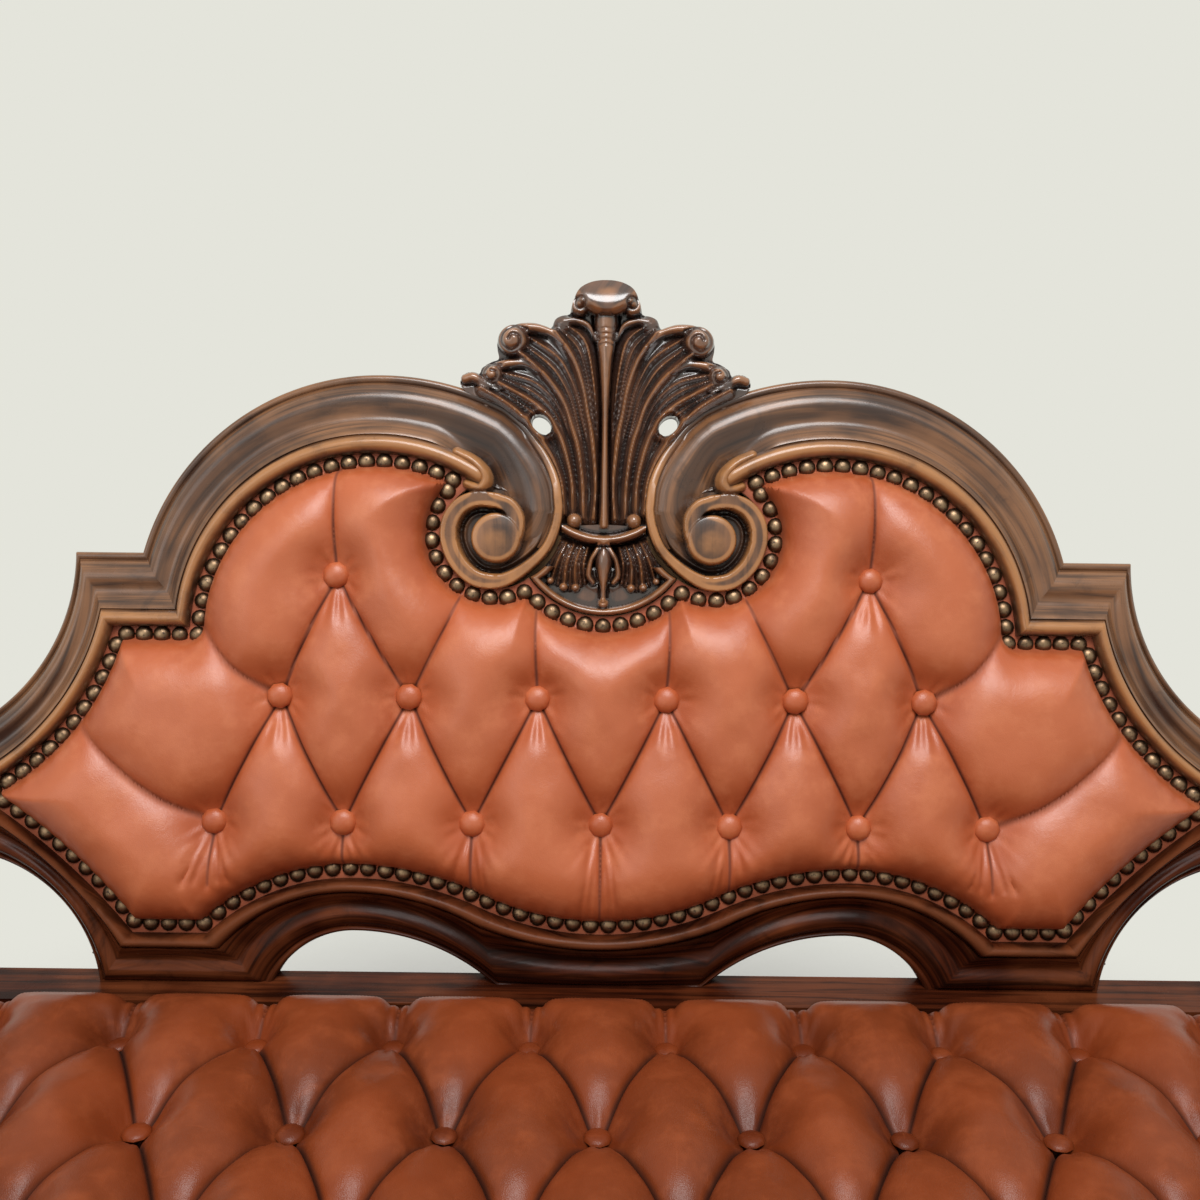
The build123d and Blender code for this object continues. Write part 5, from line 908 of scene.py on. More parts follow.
# Shell crest and the cup below it
crest = {
    "step": 0.7, "rear": 3.0, "plate": 9.0,
    # outline, right half, from the foot up over the curls to the top of the knob
    "outline": [(0, 360), (14, 360), (30, 360), (36, 368), (38, 384), (43, 402), (53, 421), (65, 440),
                (79, 453), (93, 460), (108, 466), (114, 471), (114.5, 477.5), (109, 482.5), (100, 481.5),
                (97.5, 486), (90, 490.5), (84.5, 493), (85.5, 500), (85.5, 507), (81, 515), (71, 520),
                (58, 520.8), (48, 518), (43, 518), (39.5, 524.5), (31, 528), (28, 530), (25, 538.5),
                (20, 546), (13, 550.5), (6, 552.4), (0, 552.8)],
    # rib lines from the stem's edge outwards
    "lines": {"stem": [(4.6, 368), (3.6, 400), (3.2, 450), (5.4, 488), (9.6, 514), (20, 523), (34, 526)],
              "one": [(8.3, 368), (6.8, 395), (10.1, 431), (13.8, 450), (17, 468), (23, 487), (30, 500),
                      (40, 513)],
              "oneTop": [(8.3, 368), (6.8, 395), (10.1, 431), (13.8, 450), (17, 468), (23, 487), (32, 502),
                         (58, 517)],
              "two": [(16.5, 368), (17.4, 395), (21, 422), (26.6, 441), (32, 457), (41.3, 472), (52.3, 484),
                      (68, 497)],
              "twoTop": [(16.5, 368), (17.4, 395), (21, 422), (26.6, 441), (32, 457), (41.3, 472), (56, 483),
                         (82, 486)],
              "three": [(24.8, 370), (25.7, 395), (30.3, 417), (35.8, 433), (43, 446), (52.3, 455), (65, 463),
                        (84, 473)],
              "four": [(32, 372), (34, 395), (40, 412), (48, 426), (58, 440), (68, 450), (80, 459),
                       (98, 469)]},
    # the lines that are ribs, and leaves between two lines, with the places of their finer ribs
    "ribs": ("one", "two", "three", "four"),
    "leaves": [("stem", "one", (0.4, 0.7)), ("oneTop", "two", (0.36, 0.68)),
               ("twoTop", "three", (0.36, 0.68)), ("three", "four", (0.5,))],
    "ribFoot": 21.0, "ribRise": 9.0, "ribDepth": 14.0, "ribSharp": 5.0, "fineLoss": 4.6, "fineDepth": 6.5,
    "fineSharp": 2.4,
    "stem": [(0, 362, 4.6, 24), (0, 400, 3.6, 25), (0, 450, 3.0, 27), (0, 488, 5.4, 31), (0, 516, 9.4, 33),
             (0, 530, 10, 33)],
    # rolled leaf edges: places with half width and height
    "rolls": [[(34, 505, 1.6, 27), (42, 512.5, 3.0, 28), (54, 516.5, 4.2, 29), (66, 516, 5.0, 30),
               (74, 513, 5.0, 31)],
              [(52, 483, 1.6, 26), (64, 489, 3.0, 26), (76, 489, 3.8, 26.5), (86, 486, 4.2, 27)],
              [(82, 469, 1.6, 22), (95, 473.5, 3.4, 24), (104, 478, 4.4, 25.5), (110.5, 477, 4.0, 24)],
              [(8, 508, 1.6, 25), (14, 519, 2.6, 26), (24, 523, 3.4, 26), (33, 522, 4.0, 26)]],
    # balls: place, radius, foot, top
    "balls": [((72.5, 507), 13.0, 17.0, 35.0), ((89, 480.5), 8.8, 15.0, 30.5), ((23.5, 366), 6.2, 18.0, 29.0),
              ((34, 520.5), 8.5, 16.0, 25.5), ((20.5, 534), 8.4, 20.0, 35.0)],
    # turns cut into the balls
    "cuts": [[(62, 515), (71, 517), (80, 512), (81.5, 504), (75, 498.5), (68, 501.5), (67.5, 508),
              (73, 510.5), (76, 507)],
             [(82, 487.5), (90, 487), (95.2, 481), (91.5, 475), (86, 476.5), (85.8, 481.5), (90, 482.5)]],
    "knob": {"tip": 525.0, "spread": 0.022, "top": 553.0, "foot": 32.0, "rise": 9.0, "half": 27.0,
             "sideLoss": 7.0, "eye": (20.5, 534.5), "ringDepth": 2.2, "ringRadius": 4.0},
    # hole: place, half sizes and turn; its raised rim: rise, place and width
    "hole": (50.5, 441.5, 9.0, 6.4, 45.0), "holeRim": (3.0, 1.35, 0.3),
    "stemRibs": (503.5, 507.5, 511.5, 515.5), "stemRibHalf": 6.0, "stemGroove": 3.0, "rollGroove": 1.2,
    "cutDepth": 2.6, "cutWidth": 1.3,
    # heights grow from the foot to the top
    "plateRise": 6.0, "plateFrom": 365.0, "plateRun": 150.0, "ribFrom": 368.0, "ribRun": 130.0,
    "fineFrom": 380.0, "fineRun": 70.0, "fineFoot": 2.0,
    # rubbed places: half width, height and half height of the knob's top; the same of its lip; the stem
    "rub": {"top": (11.0, 542.0, 6.5), "lip": (10.0, 527.5, 1.6), "stemAt": (362, 450, 488, 516),
            "stemHalf": (3.0, 2.0, 3.6, 6.5), "stemTop": 524.0, "shares": (0.95, 0.7, 0.8)},
    "low": (-118, 354), "high": (118, 558), "outlineSteps": 220, "ribSteps": 24,
}
ribPieces = 30


def crestHole(a, v):
    x, y, wide, tall, turn = crest["hole"]
    c, s = math.cos(math.radians(turn)), math.sin(math.radians(turn))
    along, across = (a - x) * c + (v - y) * s, (v - y) * c - (a - x) * s
    return np.hypot(along / wide, across / tall)


def crestInside(u, v):
    hole = (crestHole(np.abs(u), v) - 1) * crest["hole"][3]
    return np.minimum(insideDistance(crestLoop, u, v), hole)


def fluted(h, a, v, rib, depth, sharp):
    # A sharp rib with hollow sides; the rib's third column is its top.
    d, extra = strokeField(a, v, rib, ribPieces)
    return np.maximum(h, extra[..., 0] - depth * (1 - np.exp(-(d / sharp) ** 1.4)))


def ridged(h, a, v, rib, groove):
    # A round rib; its third and fourth columns are half width and top.
    d, extra = strokeField(a, v, rib, ribPieces)
    half, top = np.maximum(extra[..., 0], 0.1), extra[..., 1]
    h = h - groove * bell(d, half, 1.3) * (d > half)
    return np.where(d < half, np.maximum(h, h + (top - h) * roundBar(d, half)), h)


def crestRibs():
    # Each rib with its top as a third column, and the depth and sharpness of its sides.
    lines = {name: smoothPath(line, crest["ribSteps"]) for name, line in crest["lines"].items()}
    ribs = [(lines[name], 0.0, crest["ribDepth"], crest["ribSharp"]) for name in crest["ribs"]]
    fine = (crest["fineLoss"], crest["fineDepth"], crest["fineSharp"])
    for first, second, shares in crest["leaves"]:
        ribs += [(lines[first] + (lines[second] - lines[first]) * share, *fine) for share in shares]
    for rib, loss, depth, sharp in ribs:
        grown = np.clip((rib[:, 1] - crest["ribFrom"]) / crest["ribRun"], 0, 1)
        fineGrown = np.clip((rib[:, 1] - crest["fineFrom"]) / crest["fineRun"], 0, 1)
        top = crest["ribFoot"] + crest["ribRise"] * grown - loss
        top = top - loss * crest["fineFoot"] * (1 - fineGrown)
        yield np.column_stack([rib, top]), depth, sharp


def knobHeight(a, v, h):
    knob = crest["knob"]
    lip = knob["tip"] + knob["spread"] * a * a
    share = np.clip((v - lip) / (knob["top"] - lip), 0, 1)
    side = np.sqrt(np.clip(1 - (a / knob["half"]) ** 4, 0, 1))
    rise = knob["rise"] * np.sin(math.pi * share ** 0.55) * side
    roll = knob["foot"] - knob["sideLoss"] * (1 - side) + rise
    h = np.where((v > lip) & (a < knob["half"]), np.maximum(h, roll), h)
    ring = np.hypot(a - knob["eye"][0], v - knob["eye"][1])
    return h - knob["ringDepth"] * bell(ring, knob["ringRadius"], 1.2) + bell(ring, 0.0, 2.0)


def crestPolish(u, v):
    rub = crest["rub"]
    half, at, tall = rub["top"]
    top = bell(u, 0.0, half) * bell(v, at, tall)
    half, at, tall = rub["lip"]
    lip = bell(v - crest["knob"]["spread"] * u * u, at, tall) * bell(u, 0.0, half)
    stem = np.exp(-(u / np.interp(v, rub["stemAt"], rub["stemHalf"])) ** 4) * (v < rub["stemTop"])
    shares = [share * field for share, field in zip(rub["shares"], (top, lip, stem))]
    return np.clip(np.maximum(np.maximum(shares[0], shares[1]), shares[2]), 0, 1)


def crestHeight(u, v):
    a = np.abs(u)
    h = crest["plate"] + crest["plateRise"] * np.clip((v - crest["plateFrom"]) / crest["plateRun"], 0, 1)
    for rib, depth, sharp in crestRibs():
        h = fluted(h, a, v, rib, depth, sharp)
    h = ridged(h, a, v, crest["stem"], crest["stemGroove"])
    for roll in crest["rolls"]:
        h = ridged(h, a, v, roll, crest["rollGroove"])
    for (x, y), radius, foot, top in crest["balls"]:
        d = np.hypot(a - x, v - y)
        h = np.where(d < radius, np.maximum(h, foot + (top - foot) * roundBar(d, radius) ** 0.9), h)
    for cut in crest["cuts"]:
        h = h - crest["cutDepth"] * bell(strokeField(a, v, cut)[0], 0.0, crest["cutWidth"])
    h = knobHeight(a, v, h)
    for rib in crest["stemRibs"]:
        h = h - bell(v + 0.05 * a, rib, 0.9) * (a < crest["stemRibHalf"])
    rise, at, width = crest["holeRim"]
    return h + rise * bell(crestHole(a, v), at, width)


crestRight = smoothPath(crest["outline"], crest["outlineSteps"])
crestLoop = np.vstack([crestRight, (crestRight * [-1, 1])[::-1][1:-1]])
crestRelief = carved(crestInside, crestHeight, crest["low"], crest["high"], crest["step"], crest["rear"],
                     polish=crestPolish)
crestShell = joined("crestShell", [crestRelief])
place(closed(crestShell), crestWood, "show_wood", "crest_shell")

cup = {
    "step": 0.7, "rear": 8.4, "floor": 13.5, "top": 363.5, "clear": 0.6, "low": (-62, 286), "high": (62, 368),
    "throatSteps": 30, "bottomSteps": 40,
    # leaf veins of the right half with their tops, then the middle leaf and the collar
    "veins": [[(12.5, 345, 22), (15.5, 331, 26), (14.5, 317, 20)],
              [(17.5, 346, 22), (22, 331, 27), (22, 313, 22)],
              [(23.5, 347, 22), (29, 332, 27), (31, 313.5, 22)],
              [(29.5, 348, 22), (36, 334, 26), (41, 318.5, 21)],
              [(34.5, 350, 21), (43, 338, 25), (50.5, 324, 20)],
              [(15, 346, 20), (19, 331, 23), (18, 315, 19)],
              [(20.5, 346, 20), (25.5, 331, 23), (26.5, 312, 20)],
              [(26.5, 347, 20), (32.5, 333, 23), (36, 315.5, 19)],
              [(32, 349, 20), (39.5, 336, 22), (46, 321, 18)]],
    "veinDepth": 9.0, "veinSharp": 2.2,
    "ridges": [[(0, 347, 5.5, 28), (0, 336, 8, 31), (0, 323, 5.0, 29), (0, 312, 2.6, 27), (0, 304, 2.2, 26)],
               [(4, 346, 2.0, 27), (9.5, 335, 2.4, 29), (11.5, 323, 2.6, 26), (8, 317, 2.2, 24)],
               [(0, 350.5, 4.6, 31), (12, 352, 4.6, 31), (24, 356, 4.4, 30), (33, 361, 4.0, 29)]],
    "ridgeGroove": 1.6, "rim": 6.5, "rimFoot": 20.0, "rimTop": 29.0, "rimBelow": 330.0, "ballFoot": 18.0,
    "balls": [((0, 300.5), 4.8, 30.0), ((22, 313), 3.6, 25.0), ((31.5, 313.5), 3.6, 25.0),
              ((42, 318.5), 3.2, 23.5)],
}
throat = arcPoints(*bulged(panel["scrollBack"], cupJoint, -panel["backBulge"]), cup["throatSteps"])
cupSide = [(q[0] - cup["clear"], q[1]) for q in throat[::-1] if q[1] < cup["top"] - 1]
cupFoot = arcPoints(*level(cupBottom, cupJoint), cup["bottomSteps"])
cupRight = np.vstack([cupFoot[:-1], cupSide, [(0.0, cup["top"])]])
cupLoop = np.vstack([cupRight, (cupRight[1:-1] * [-1, 1])[::-1]])


def cupInside(u, v):
    return insideDistance(cupLoop, u, v)


def cupHeight(u, v):
    a = np.abs(u)
    h = np.full(u.shape, cup["floor"])
    for vein in cup["veins"]:
        h = fluted(h, a, v, vein, cup["veinDepth"], cup["veinSharp"])
    for (x, y), radius, top in cup["balls"]:
        d = np.hypot(a - x, v - y)
        ball = cup["ballFoot"] + (top - cup["ballFoot"]) * roundBar(d, radius)
        h = np.where(d < radius, np.maximum(h, ball), h)
    for ridge in cup["ridges"]:
        h = ridged(h, a, v, ridge, cup["ridgeGroove"])
    edge = np.where(v < cup["rimBelow"], insideDistance(cupLoop, u, v), np.inf)
    half = cup["rim"] / 2
    rim = cup["rimFoot"] + (cup["rimTop"] - cup["rimFoot"]) * roundBar(edge - half, half)
    return np.where(edge < cup["rim"], np.maximum(h, rim), h)


cupRelief = carved(cupInside, cupHeight, cup["low"], cup["high"], cup["step"], cup["rear"])
crestCup = joined("crestCup", [cupRelief])
place(closed(crestCup), crestWood, "show_wood", "crest_cup")
print("crest and cup carved")

# Tufted leather: height from edge distance, pleats and buttons

tuft = {
    "border": 22.9, "crown": 59.0, "flat": 13.0, "round": 46.0, "pleatDepth": 0.42, "pleatReach": 46.0,
    "buttonLeft": 0.42, "buttonWidth": 15.0, "foldDepth": 0.5, "fan": 2.0, "line": 1.5, "cells": 52,
    # share of painted shade along the edge beside the wood
    "rim": 0.62,
    # buttons: distance in a row, heights of the three rows, and how far out the two upper ones stand
    "pitch": 100.0, "rowLow": 128.0, "rowMid": 226.0, "rowTop": 320.0, "lobe": 207.0,
    # pleats to the edge: end above the upper buttons, foot below the lower ones, and small folds beside those
    "topEnd": 405.0, "foot": 40.0, "footRise": 40.0, "flare": 1.01, "edgeBlunt": 1.6,
    "footFolds": (-17.0, -9.0, 8.0, 15.0),
    # other pleats of the right half that run to the edge: places with strength, then the radius in the fold
    "edgePleats": [([(50, 226, 1.0), (52, 270, 0.8), (52, 302, 0.6)], 1.6),
                   ([(150, 226, 1.0), (128, 268, 0.9), (112, 304, 0.8)], 1.5),
                   ([(250, 226, 1.0), (284, 248, 0.9), (312, 280, 0.7)], 3.6),
                   ([(300, 128, 1.0), (352, 154, 0.9), (404, 200, 0.7)], 3.6)],
    # gathers between the nails, and the dip beside them
    "nailPitch": 14.0, "gather": 0.35, "nailDip": 1.4, "foldsFrom": 14.0, "inset": 0.6,
    "boxLow": (-512, 20), "boxHigh": (512, 424), "rear": 20.3, "pleatSteps": 16,
}


def dome(x):
    x = np.clip(x, 0, 1)
    return np.sqrt(1 - (1 - x) ** 2)


def pulled(u, v, pleats, buttons, values):
    # Share of the full height left by pleats and buttons, small folds, and how deep in a crease a place is,
    # which sets the painted shade in creases and round the buttons.
    left = np.ones(u.shape)
    creaseShade = np.zeros(u.shape)
    for points, share, reach, blunt in pleats:
        d, extra = strokeField(u, v, points, tuft["pleatSteps"], values["pleatReach"] + 4)
        strength = extra[..., 0] * share
        soft = np.sqrt(d * d + blunt * blunt) - blunt
        left = left * (1 - values["pleatDepth"] * strength * (1 - dome(soft / reach)))
        line = max(values["line"], blunt)
        creaseShade = np.maximum(creaseShade, strength * (values["line"] / line) ** 0.4 * bell(d, 0.0, line))
    hole = np.zeros(u.shape)
    fold = np.zeros(u.shape)
    for k, (x, y) in enumerate(buttons):
        d = np.hypot(u - x, v - y)
        turn = np.arctan2(v - y, u - x)
        hole = np.maximum(hole, np.exp(-(d / values["buttonWidth"]) ** 1.6))
        ripple = np.sin(turn * 9 + k * 1.7) + 0.6 * np.sin(turn * 14 + k * 2.9)
        fold = fold + ripple * bell(d, 15, 6)
        down = np.arctan2(u - x, y - v)
        fold = fold + values["fan"] * np.cos(down * 17 + k) * bell(down, 0.0, 0.6) * bell(d, 26, 13)
    left = left * (1 - hole) + np.minimum(left, values["buttonLeft"]) * hole
    return left, fold * values["foldDepth"], np.maximum(creaseShade, hole ** 5)


# Cloth: the leather is let go between its buttons, pleats and nails, and settles under stuffing pressure

cloth = {
    "frames": 20, "pressure": 6.0, "growth": -0.01, "bend": 6.0, "stretch": 30.0, "shear": 15.0, "mass": 0.4,
    "air": 3.0, "quality": 6, "step": 5.0, "even": 1, "cap": 6.0,
    # held places: border, round each button and along the pleats, and how firmly
    "edgeHold": 20.0, "buttonHold": 13.0, "pleatHold": 5.0, "pleatPin": 0.85, "pinned": 2.0, "pinLoss": 0.8,
}


def settled(name, inside, height, pleats, buttons, low, high):
    # The move of each place, in millimetres, from a simulated sheet on a plain grid.
    step = cloth["step"]
    us, vs = np.arange(low[0], high[0] + step, step), np.arange(low[1], high[1] + step, step)
    u, v = np.meshgrid(us, vs, indexing="ij")
    edge = inside(u, v)
    keep = edge > 0
    number = np.full(u.shape, -1)
    number[keep] = np.arange(keep.sum())
    rest = np.stack([u, v, height(u, v)], axis=-1)[keep]
    corners = gridCorners(number)
    sheet = meshFrom(name, rest * millimetre, corners[(corners >= 0).all(axis=1)].tolist())
    pin = np.where(edge < cloth["edgeHold"], 1.0, 0.0)
    for x, y in buttons:
        pin = np.maximum(pin, np.hypot(u - x, v - y) < cloth["buttonHold"])
    for points, share, reach, blunt in pleats:
        d = strokeField(u, v, points, tuft["pleatSteps"])[0]
        pin = np.maximum(pin, cloth["pleatPin"] * (d < cloth["pleatHold"]) * (share > 0.5))
    group = sheet.vertex_groups.new(name="pin")
    for weight in np.unique(pin[keep]):
        if weight > 0:
            group.add(np.nonzero(pin[keep] == weight)[0].tolist(), float(weight), "REPLACE")
    modifier = sheet.modifiers.new("cloth", "CLOTH")
    settings = modifier.settings
    settings.quality = cloth["quality"]
    settings.mass = cloth["mass"]
    settings.tension_stiffness = cloth["stretch"]
    settings.compression_stiffness = cloth["stretch"]
    settings.shear_stiffness = cloth["shear"]
    settings.bending_stiffness = cloth["bend"]
    settings.air_damping = cloth["air"]
    settings.vertex_group_mass = "pin"
    settings.pin_stiffness = cloth["pinned"]
    settings.use_pressure = True
    settings.uniform_pressure_force = cloth["pressure"]
    settings.shrink_min = cloth["growth"]
    settings.effector_weights.gravity = 0.0
    modifier.point_cache.frame_start, modifier.point_cache.frame_end = 1, cloth["frames"]
    scene = bpy.context.scene
    for moment in range(1, cloth["frames"] + 1):
        scene.frame_set(moment)
    graph = bpy.context.evaluated_depsgraph_get()
    shape = sheet.evaluated_get(graph).data
    after = np.zeros(len(shape.vertices) * 3)
    shape.vertices.foreach_get("co", after)
    scene.frame_set(1)
    move = after.reshape(-1, 3) / millimetre - rest
    size = np.linalg.norm(move, axis=1, keepdims=True)
    move = move * np.minimum(1, cloth["cap"] / np.maximum(size, 1e-6))
    mean, largest = (round(float(s), 2) for s in (size.mean(), size.max()))
    print(name, "settled, mean and largest move in mm:", mean, largest)
    bpy.data.objects.remove(sheet)
    field = np.zeros(u.shape + (3,))
    field[keep] = move
    free = 1 - cloth["pinLoss"] * blurred(pin, cloth["even"])
    field = np.stack([blurred(field[..., k], cloth["even"]) * free for k in range(3)], axis=-1)

    def shift(fu, fv, fw, top):
        i = np.clip((fu - us[0]) / step, 0, len(us) - 1.001)
        j = np.clip((fv - vs[0]) / step, 0, len(vs) - 1.001)
        i0, j0 = i.astype(int), j.astype(int)
        si, sj = (i - i0)[:, None], (j - j0)[:, None]
        near = field[i0, j0] * (1 - si) + field[i0 + 1, j0] * si
        beyond = field[i0, j0 + 1] * (1 - si) + field[i0 + 1, j0 + 1] * si
        add = (near * (1 - sj) + beyond * sj) * top[:, None]
        return fu + add[:, 0], fv + add[:, 1], fw + add[:, 2]
    return shift


pitch = tuft["pitch"]
rowLow = [(pitch * i, tuft["rowLow"]) for i in range(-3, 4)]
rowMid = [(pitch * i + pitch / 2, tuft["rowMid"]) for i in range(-3, 3)]
rowTop = [(side * tuft["lobe"], tuft["rowTop"]) for side in (-1, 1)]
backButtons = rowLow + rowMid + rowTop


def pleat(*points, share=1.0, reach=tuft["pleatReach"], blunt=0.7):
    # Points are (u, v, strength); blunt is the radius at the bottom of the fold.
    return (points, share, reach, blunt)


def crossPleats(row, following):
    # From each button of a row to its two neighbours in the next.
    return [pleat((*a, 1.0), (*b, 1.0)) for a in row for b in following
            if abs(abs(a[0] - b[0]) - pitch / 2) < 1]


backPleats = crossPleats(rowMid, rowLow)
for a in rowTop:
    backPleats += [pleat((*a, 1.0), (*b, 1.0)) for b in rowMid if abs(a[0] - b[0]) < 0.6 * pitch]
    topEnd = (a[0] * tuft["flare"], tuft["topEnd"], 0.75)
    backPleats.append(pleat((*a, 1.0), topEnd, blunt=tuft["edgeBlunt"]))
for x, y in rowLow:
    swing = 1 - math.cos(math.pi * min(abs(x), panel["peak"][0]) / panel["peak"][0])
    foot = tuft["foot"] + tuft["footRise"] * swing / 2
    footX = x * tuft["flare"]
    backPleats.append(pleat((x, y, 1.0), (footX, foot, 0.6), blunt=tuft["edgeBlunt"]))
    for spread in tuft["footFolds"]:
        ends = ((x + spread * 0.4, y - 13, 0.5), (footX + spread, foot + 4, 1.0))
        backPleats.append(pleat(*ends, share=0.25, reach=7.0))
for side in (-1, 1):
    for points, blunt in tuft["edgePleats"]:
        backPleats.append(pleat(*((side * x, y, strength) for x, y, strength in points), blunt=blunt))
backEdge = np.array(sightLoop)


def backInside(u, v):
    return insideDistance(backEdge, u, v) - tuft["inset"]


def backShape(u, v):
    # Height, distance to the edge, share of the full height, and how deep in a crease a place is, which sets
    # the painted shade.
    edge, run = edgeRun(backEdge, u, v)
    swell = dome((edge - tuft["flat"]) / tuft["round"])
    left, fold, dark = pulled(u, v, backPleats, backButtons, tuft)
    h = tuft["border"] + (tuft["crown"] - tuft["border"]) * swell * left
    pull = np.cos(run / tuft["nailPitch"] * 2 * math.pi) * bell(edge, 19, 7)
    pull = pull + 0.6 * np.sin(run / 31.0 + np.sin(run / 47.0)) * bell(edge, 30, 12)
    h = h + fold * (edge > tuft["foldsFrom"]) + tuft["gather"] * pull
    h = h - tuft["nailDip"] * bell(edge, tuft["flat"] + 1.5, 2.6)
    return h, edge, swell * left, dark


def backHeight(u, v):
    return backShape(u, v)[0]


def leatherAttributes(shape, uv, rim):
    # Painted shade: the hide is darkened in creases, round the buttons, under the nails, and by the share rim
    # along its edge beside the wood.
    h, edge, crown, dark = shape(uv[:, 0], uv[:, 1])
    dark = np.maximum(dark, 0.5 * bell(edge, tuft["flat"], 3.0))
    return {"crown": crown, "creaseShade": np.maximum(dark, rim * bell(edge, 0.0, 8.0))}


def leatherSheet(name, inside, height, shape, low, high, lattice, rear, put, pleats, buttons, rim=0.0):
    # The lattice follows the pleats, so that each pleat is one row of edges.
    shift = settled(name + "Sheet", inside, height, pleats, buttons, low, high)
    step = math.hypot(*lattice[1])
    verts, faces, uvs, values = carved(inside, height, low, high, step, rear, put=put, shift=shift,
                                       lattice=lattice)
    return closed(meshFrom(name, verts, faces, uvs[:, :2], leatherAttributes(shape, uvs[:, 2:], rim)))


rowRise = tuft["rowMid"] - tuft["rowLow"]
backWay = (pitch / 2 / tuft["cells"], rowRise / tuft["cells"])
backLattice = (rowLow[0], backWay, (-backWay[0], backWay[1]))
backLeather = leatherSheet("backLeather", backInside, backHeight, backShape, tuft["boxLow"], tuft["boxHigh"],
                           backLattice, tuft["rear"], onPanel, backPleats, backButtons, tuft["rim"])
place(backLeather, backHide, "leather", "back_leather", "back_foam")
print("back leather made")

# Seat, in millimetres of x and depth from the ledge's rear edge
seat = {
    "half": 574.0, "frontHalf": 622.0, "front": 590.0, "notch": 505.0, "rear": 50.3, "bulge": 4.0,
    "low": 350.3, "profile": ((0, 388.6), (4, 421), (9, 437), (19, 448), (34, 454), (48, 456), (900, 456)),
    "base": 392.0, "pleatDepth": 0.32, "pleatReach": 47.0, "buttonLeft": 0.50, "buttonWidth": 13.5,
    "foldDepth": 0.6, "fan": 1.6, "line": 2.0, "cells": 40, "firstRow": 100.0, "rowPitch": 97.0, "rows": 5,
    "columns": 5,
    # pleats to the edge: how far from it they end, small folds beside them, and how far out the side ones run
    "edgeEnd": 12.0, "edgeFolds": (-10.0, 10.0), "edgeBlunt": 2.0, "sideEnd": 640.0,
    "foldsFrom": 8.0, "crownRise": 106.0, "nailsAway": 40.0, "boxLow": (-632, -600), "boxHigh": (632, -40),
}


def onSeat(x, y, z):
    x, y, z = (np.asarray(a, float) * millimetre for a in (x, y, z))
    return np.stack(np.broadcast_arrays(x, panelOrigin[1] + y, z), axis=-1)


bulge = seat["bulge"]
seatWide, seatNarrow = seat["frontHalf"] + bulge, seat["half"] + bulge
seatFront, seatNotch, seatRear = -seat["front"] - bulge, -seat["notch"] + bulge, -seat["rear"] + bulge
seatRight = [(0, seatFront), (seatWide, seatFront), (seatWide, seatNotch), (seatNarrow, seatNotch),
             (seatNarrow, seatRear), (0, seatRear)]
seatEdge = np.array(seatRight + [(-x, y) for x, y in seatRight[::-1][1:-1]], float)


def seatRow(row):
    # Rows take turns: a button on the middle, or one on each side of it.
    columns, odd = seat["columns"], row % 2
    return [((i if odd else i + 0.5) * pitch, -seat["firstRow"] - row * seat["rowPitch"])
            for i in range(-columns, columns + odd)]


seatRows = [seatRow(row) for row in range(seat["rows"])]
seatButtons = [q for row in seatRows for q in row]
seatPleats = []
for row, following in zip(seatRows, seatRows[1:]):
    seatPleats += crossPleats(row, following)
edgeBlunt = seat["edgeBlunt"]
for row, end in ((seatRows[0], -seat["rear"] + seat["edgeEnd"]),
                 (seatRows[-1], -seat["front"] - seat["edgeEnd"])):
    for x, y in row:
        seatPleats.append(pleat((x, y, 1.0), (x, end, 0.9), share=0.6, reach=16.0, blunt=edgeBlunt))
        for spread in seat["edgeFolds"]:
            edgeFold = ((x + spread * 0.5, y + (end - y) * 0.2, 0.7), (x + spread, end, 1.0))
            seatPleats.append(pleat(*edgeFold, share=0.35, reach=10.0, blunt=edgeBlunt))
for row in seatRows[1::2]:
    for q, side in ((row[0], -1), (row[-1], 1)):
        seatPleats.append(pleat((*q, 1.0), (side * seat["sideEnd"], q[1], 0.9)))


def seatInside(x, y):
    return insideDistance(seatEdge, x, y)


def seatShape(x, y):
    # As backShape. No nails show on top, so the edge is given as too far away to take the painted shade under
    # the nails.
    edge, run = edgeRun(seatEdge, x, y)
    at, rise = np.array(seat["profile"]).T
    full = np.interp(np.maximum(edge, 0), at, rise)
    left, fold, dark = pulled(x, y, seatPleats, seatButtons, seat)
    h = seat["base"] + (full - seat["base"]) * left
    h = np.where(full < seat["base"], full, h)
    h = h + fold * (edge > seat["foldsFrom"])
    return h, edge + seat["nailsAway"], (full - seat["low"]) / seat["crownRise"] * left, dark


def seatHeight(x, y):
    return seatShape(x, y)[0]


seatWay = (pitch / 2 / seat["cells"], seat["rowPitch"] / seat["cells"])
seatLattice = (seatRows[0][0], seatWay, (-seatWay[0], seatWay[1]))
seatLeather = leatherSheet("seatLeather", seatInside, seatHeight, seatShape, seat["boxLow"], seat["boxHigh"],
                           seatLattice, seat["low"], onSeat, seatPleats, seatButtons)
place(seatLeather, seatHide, "leather", "seat_leather", "seat_foam", "seat_hessian")
print("seat leather made")

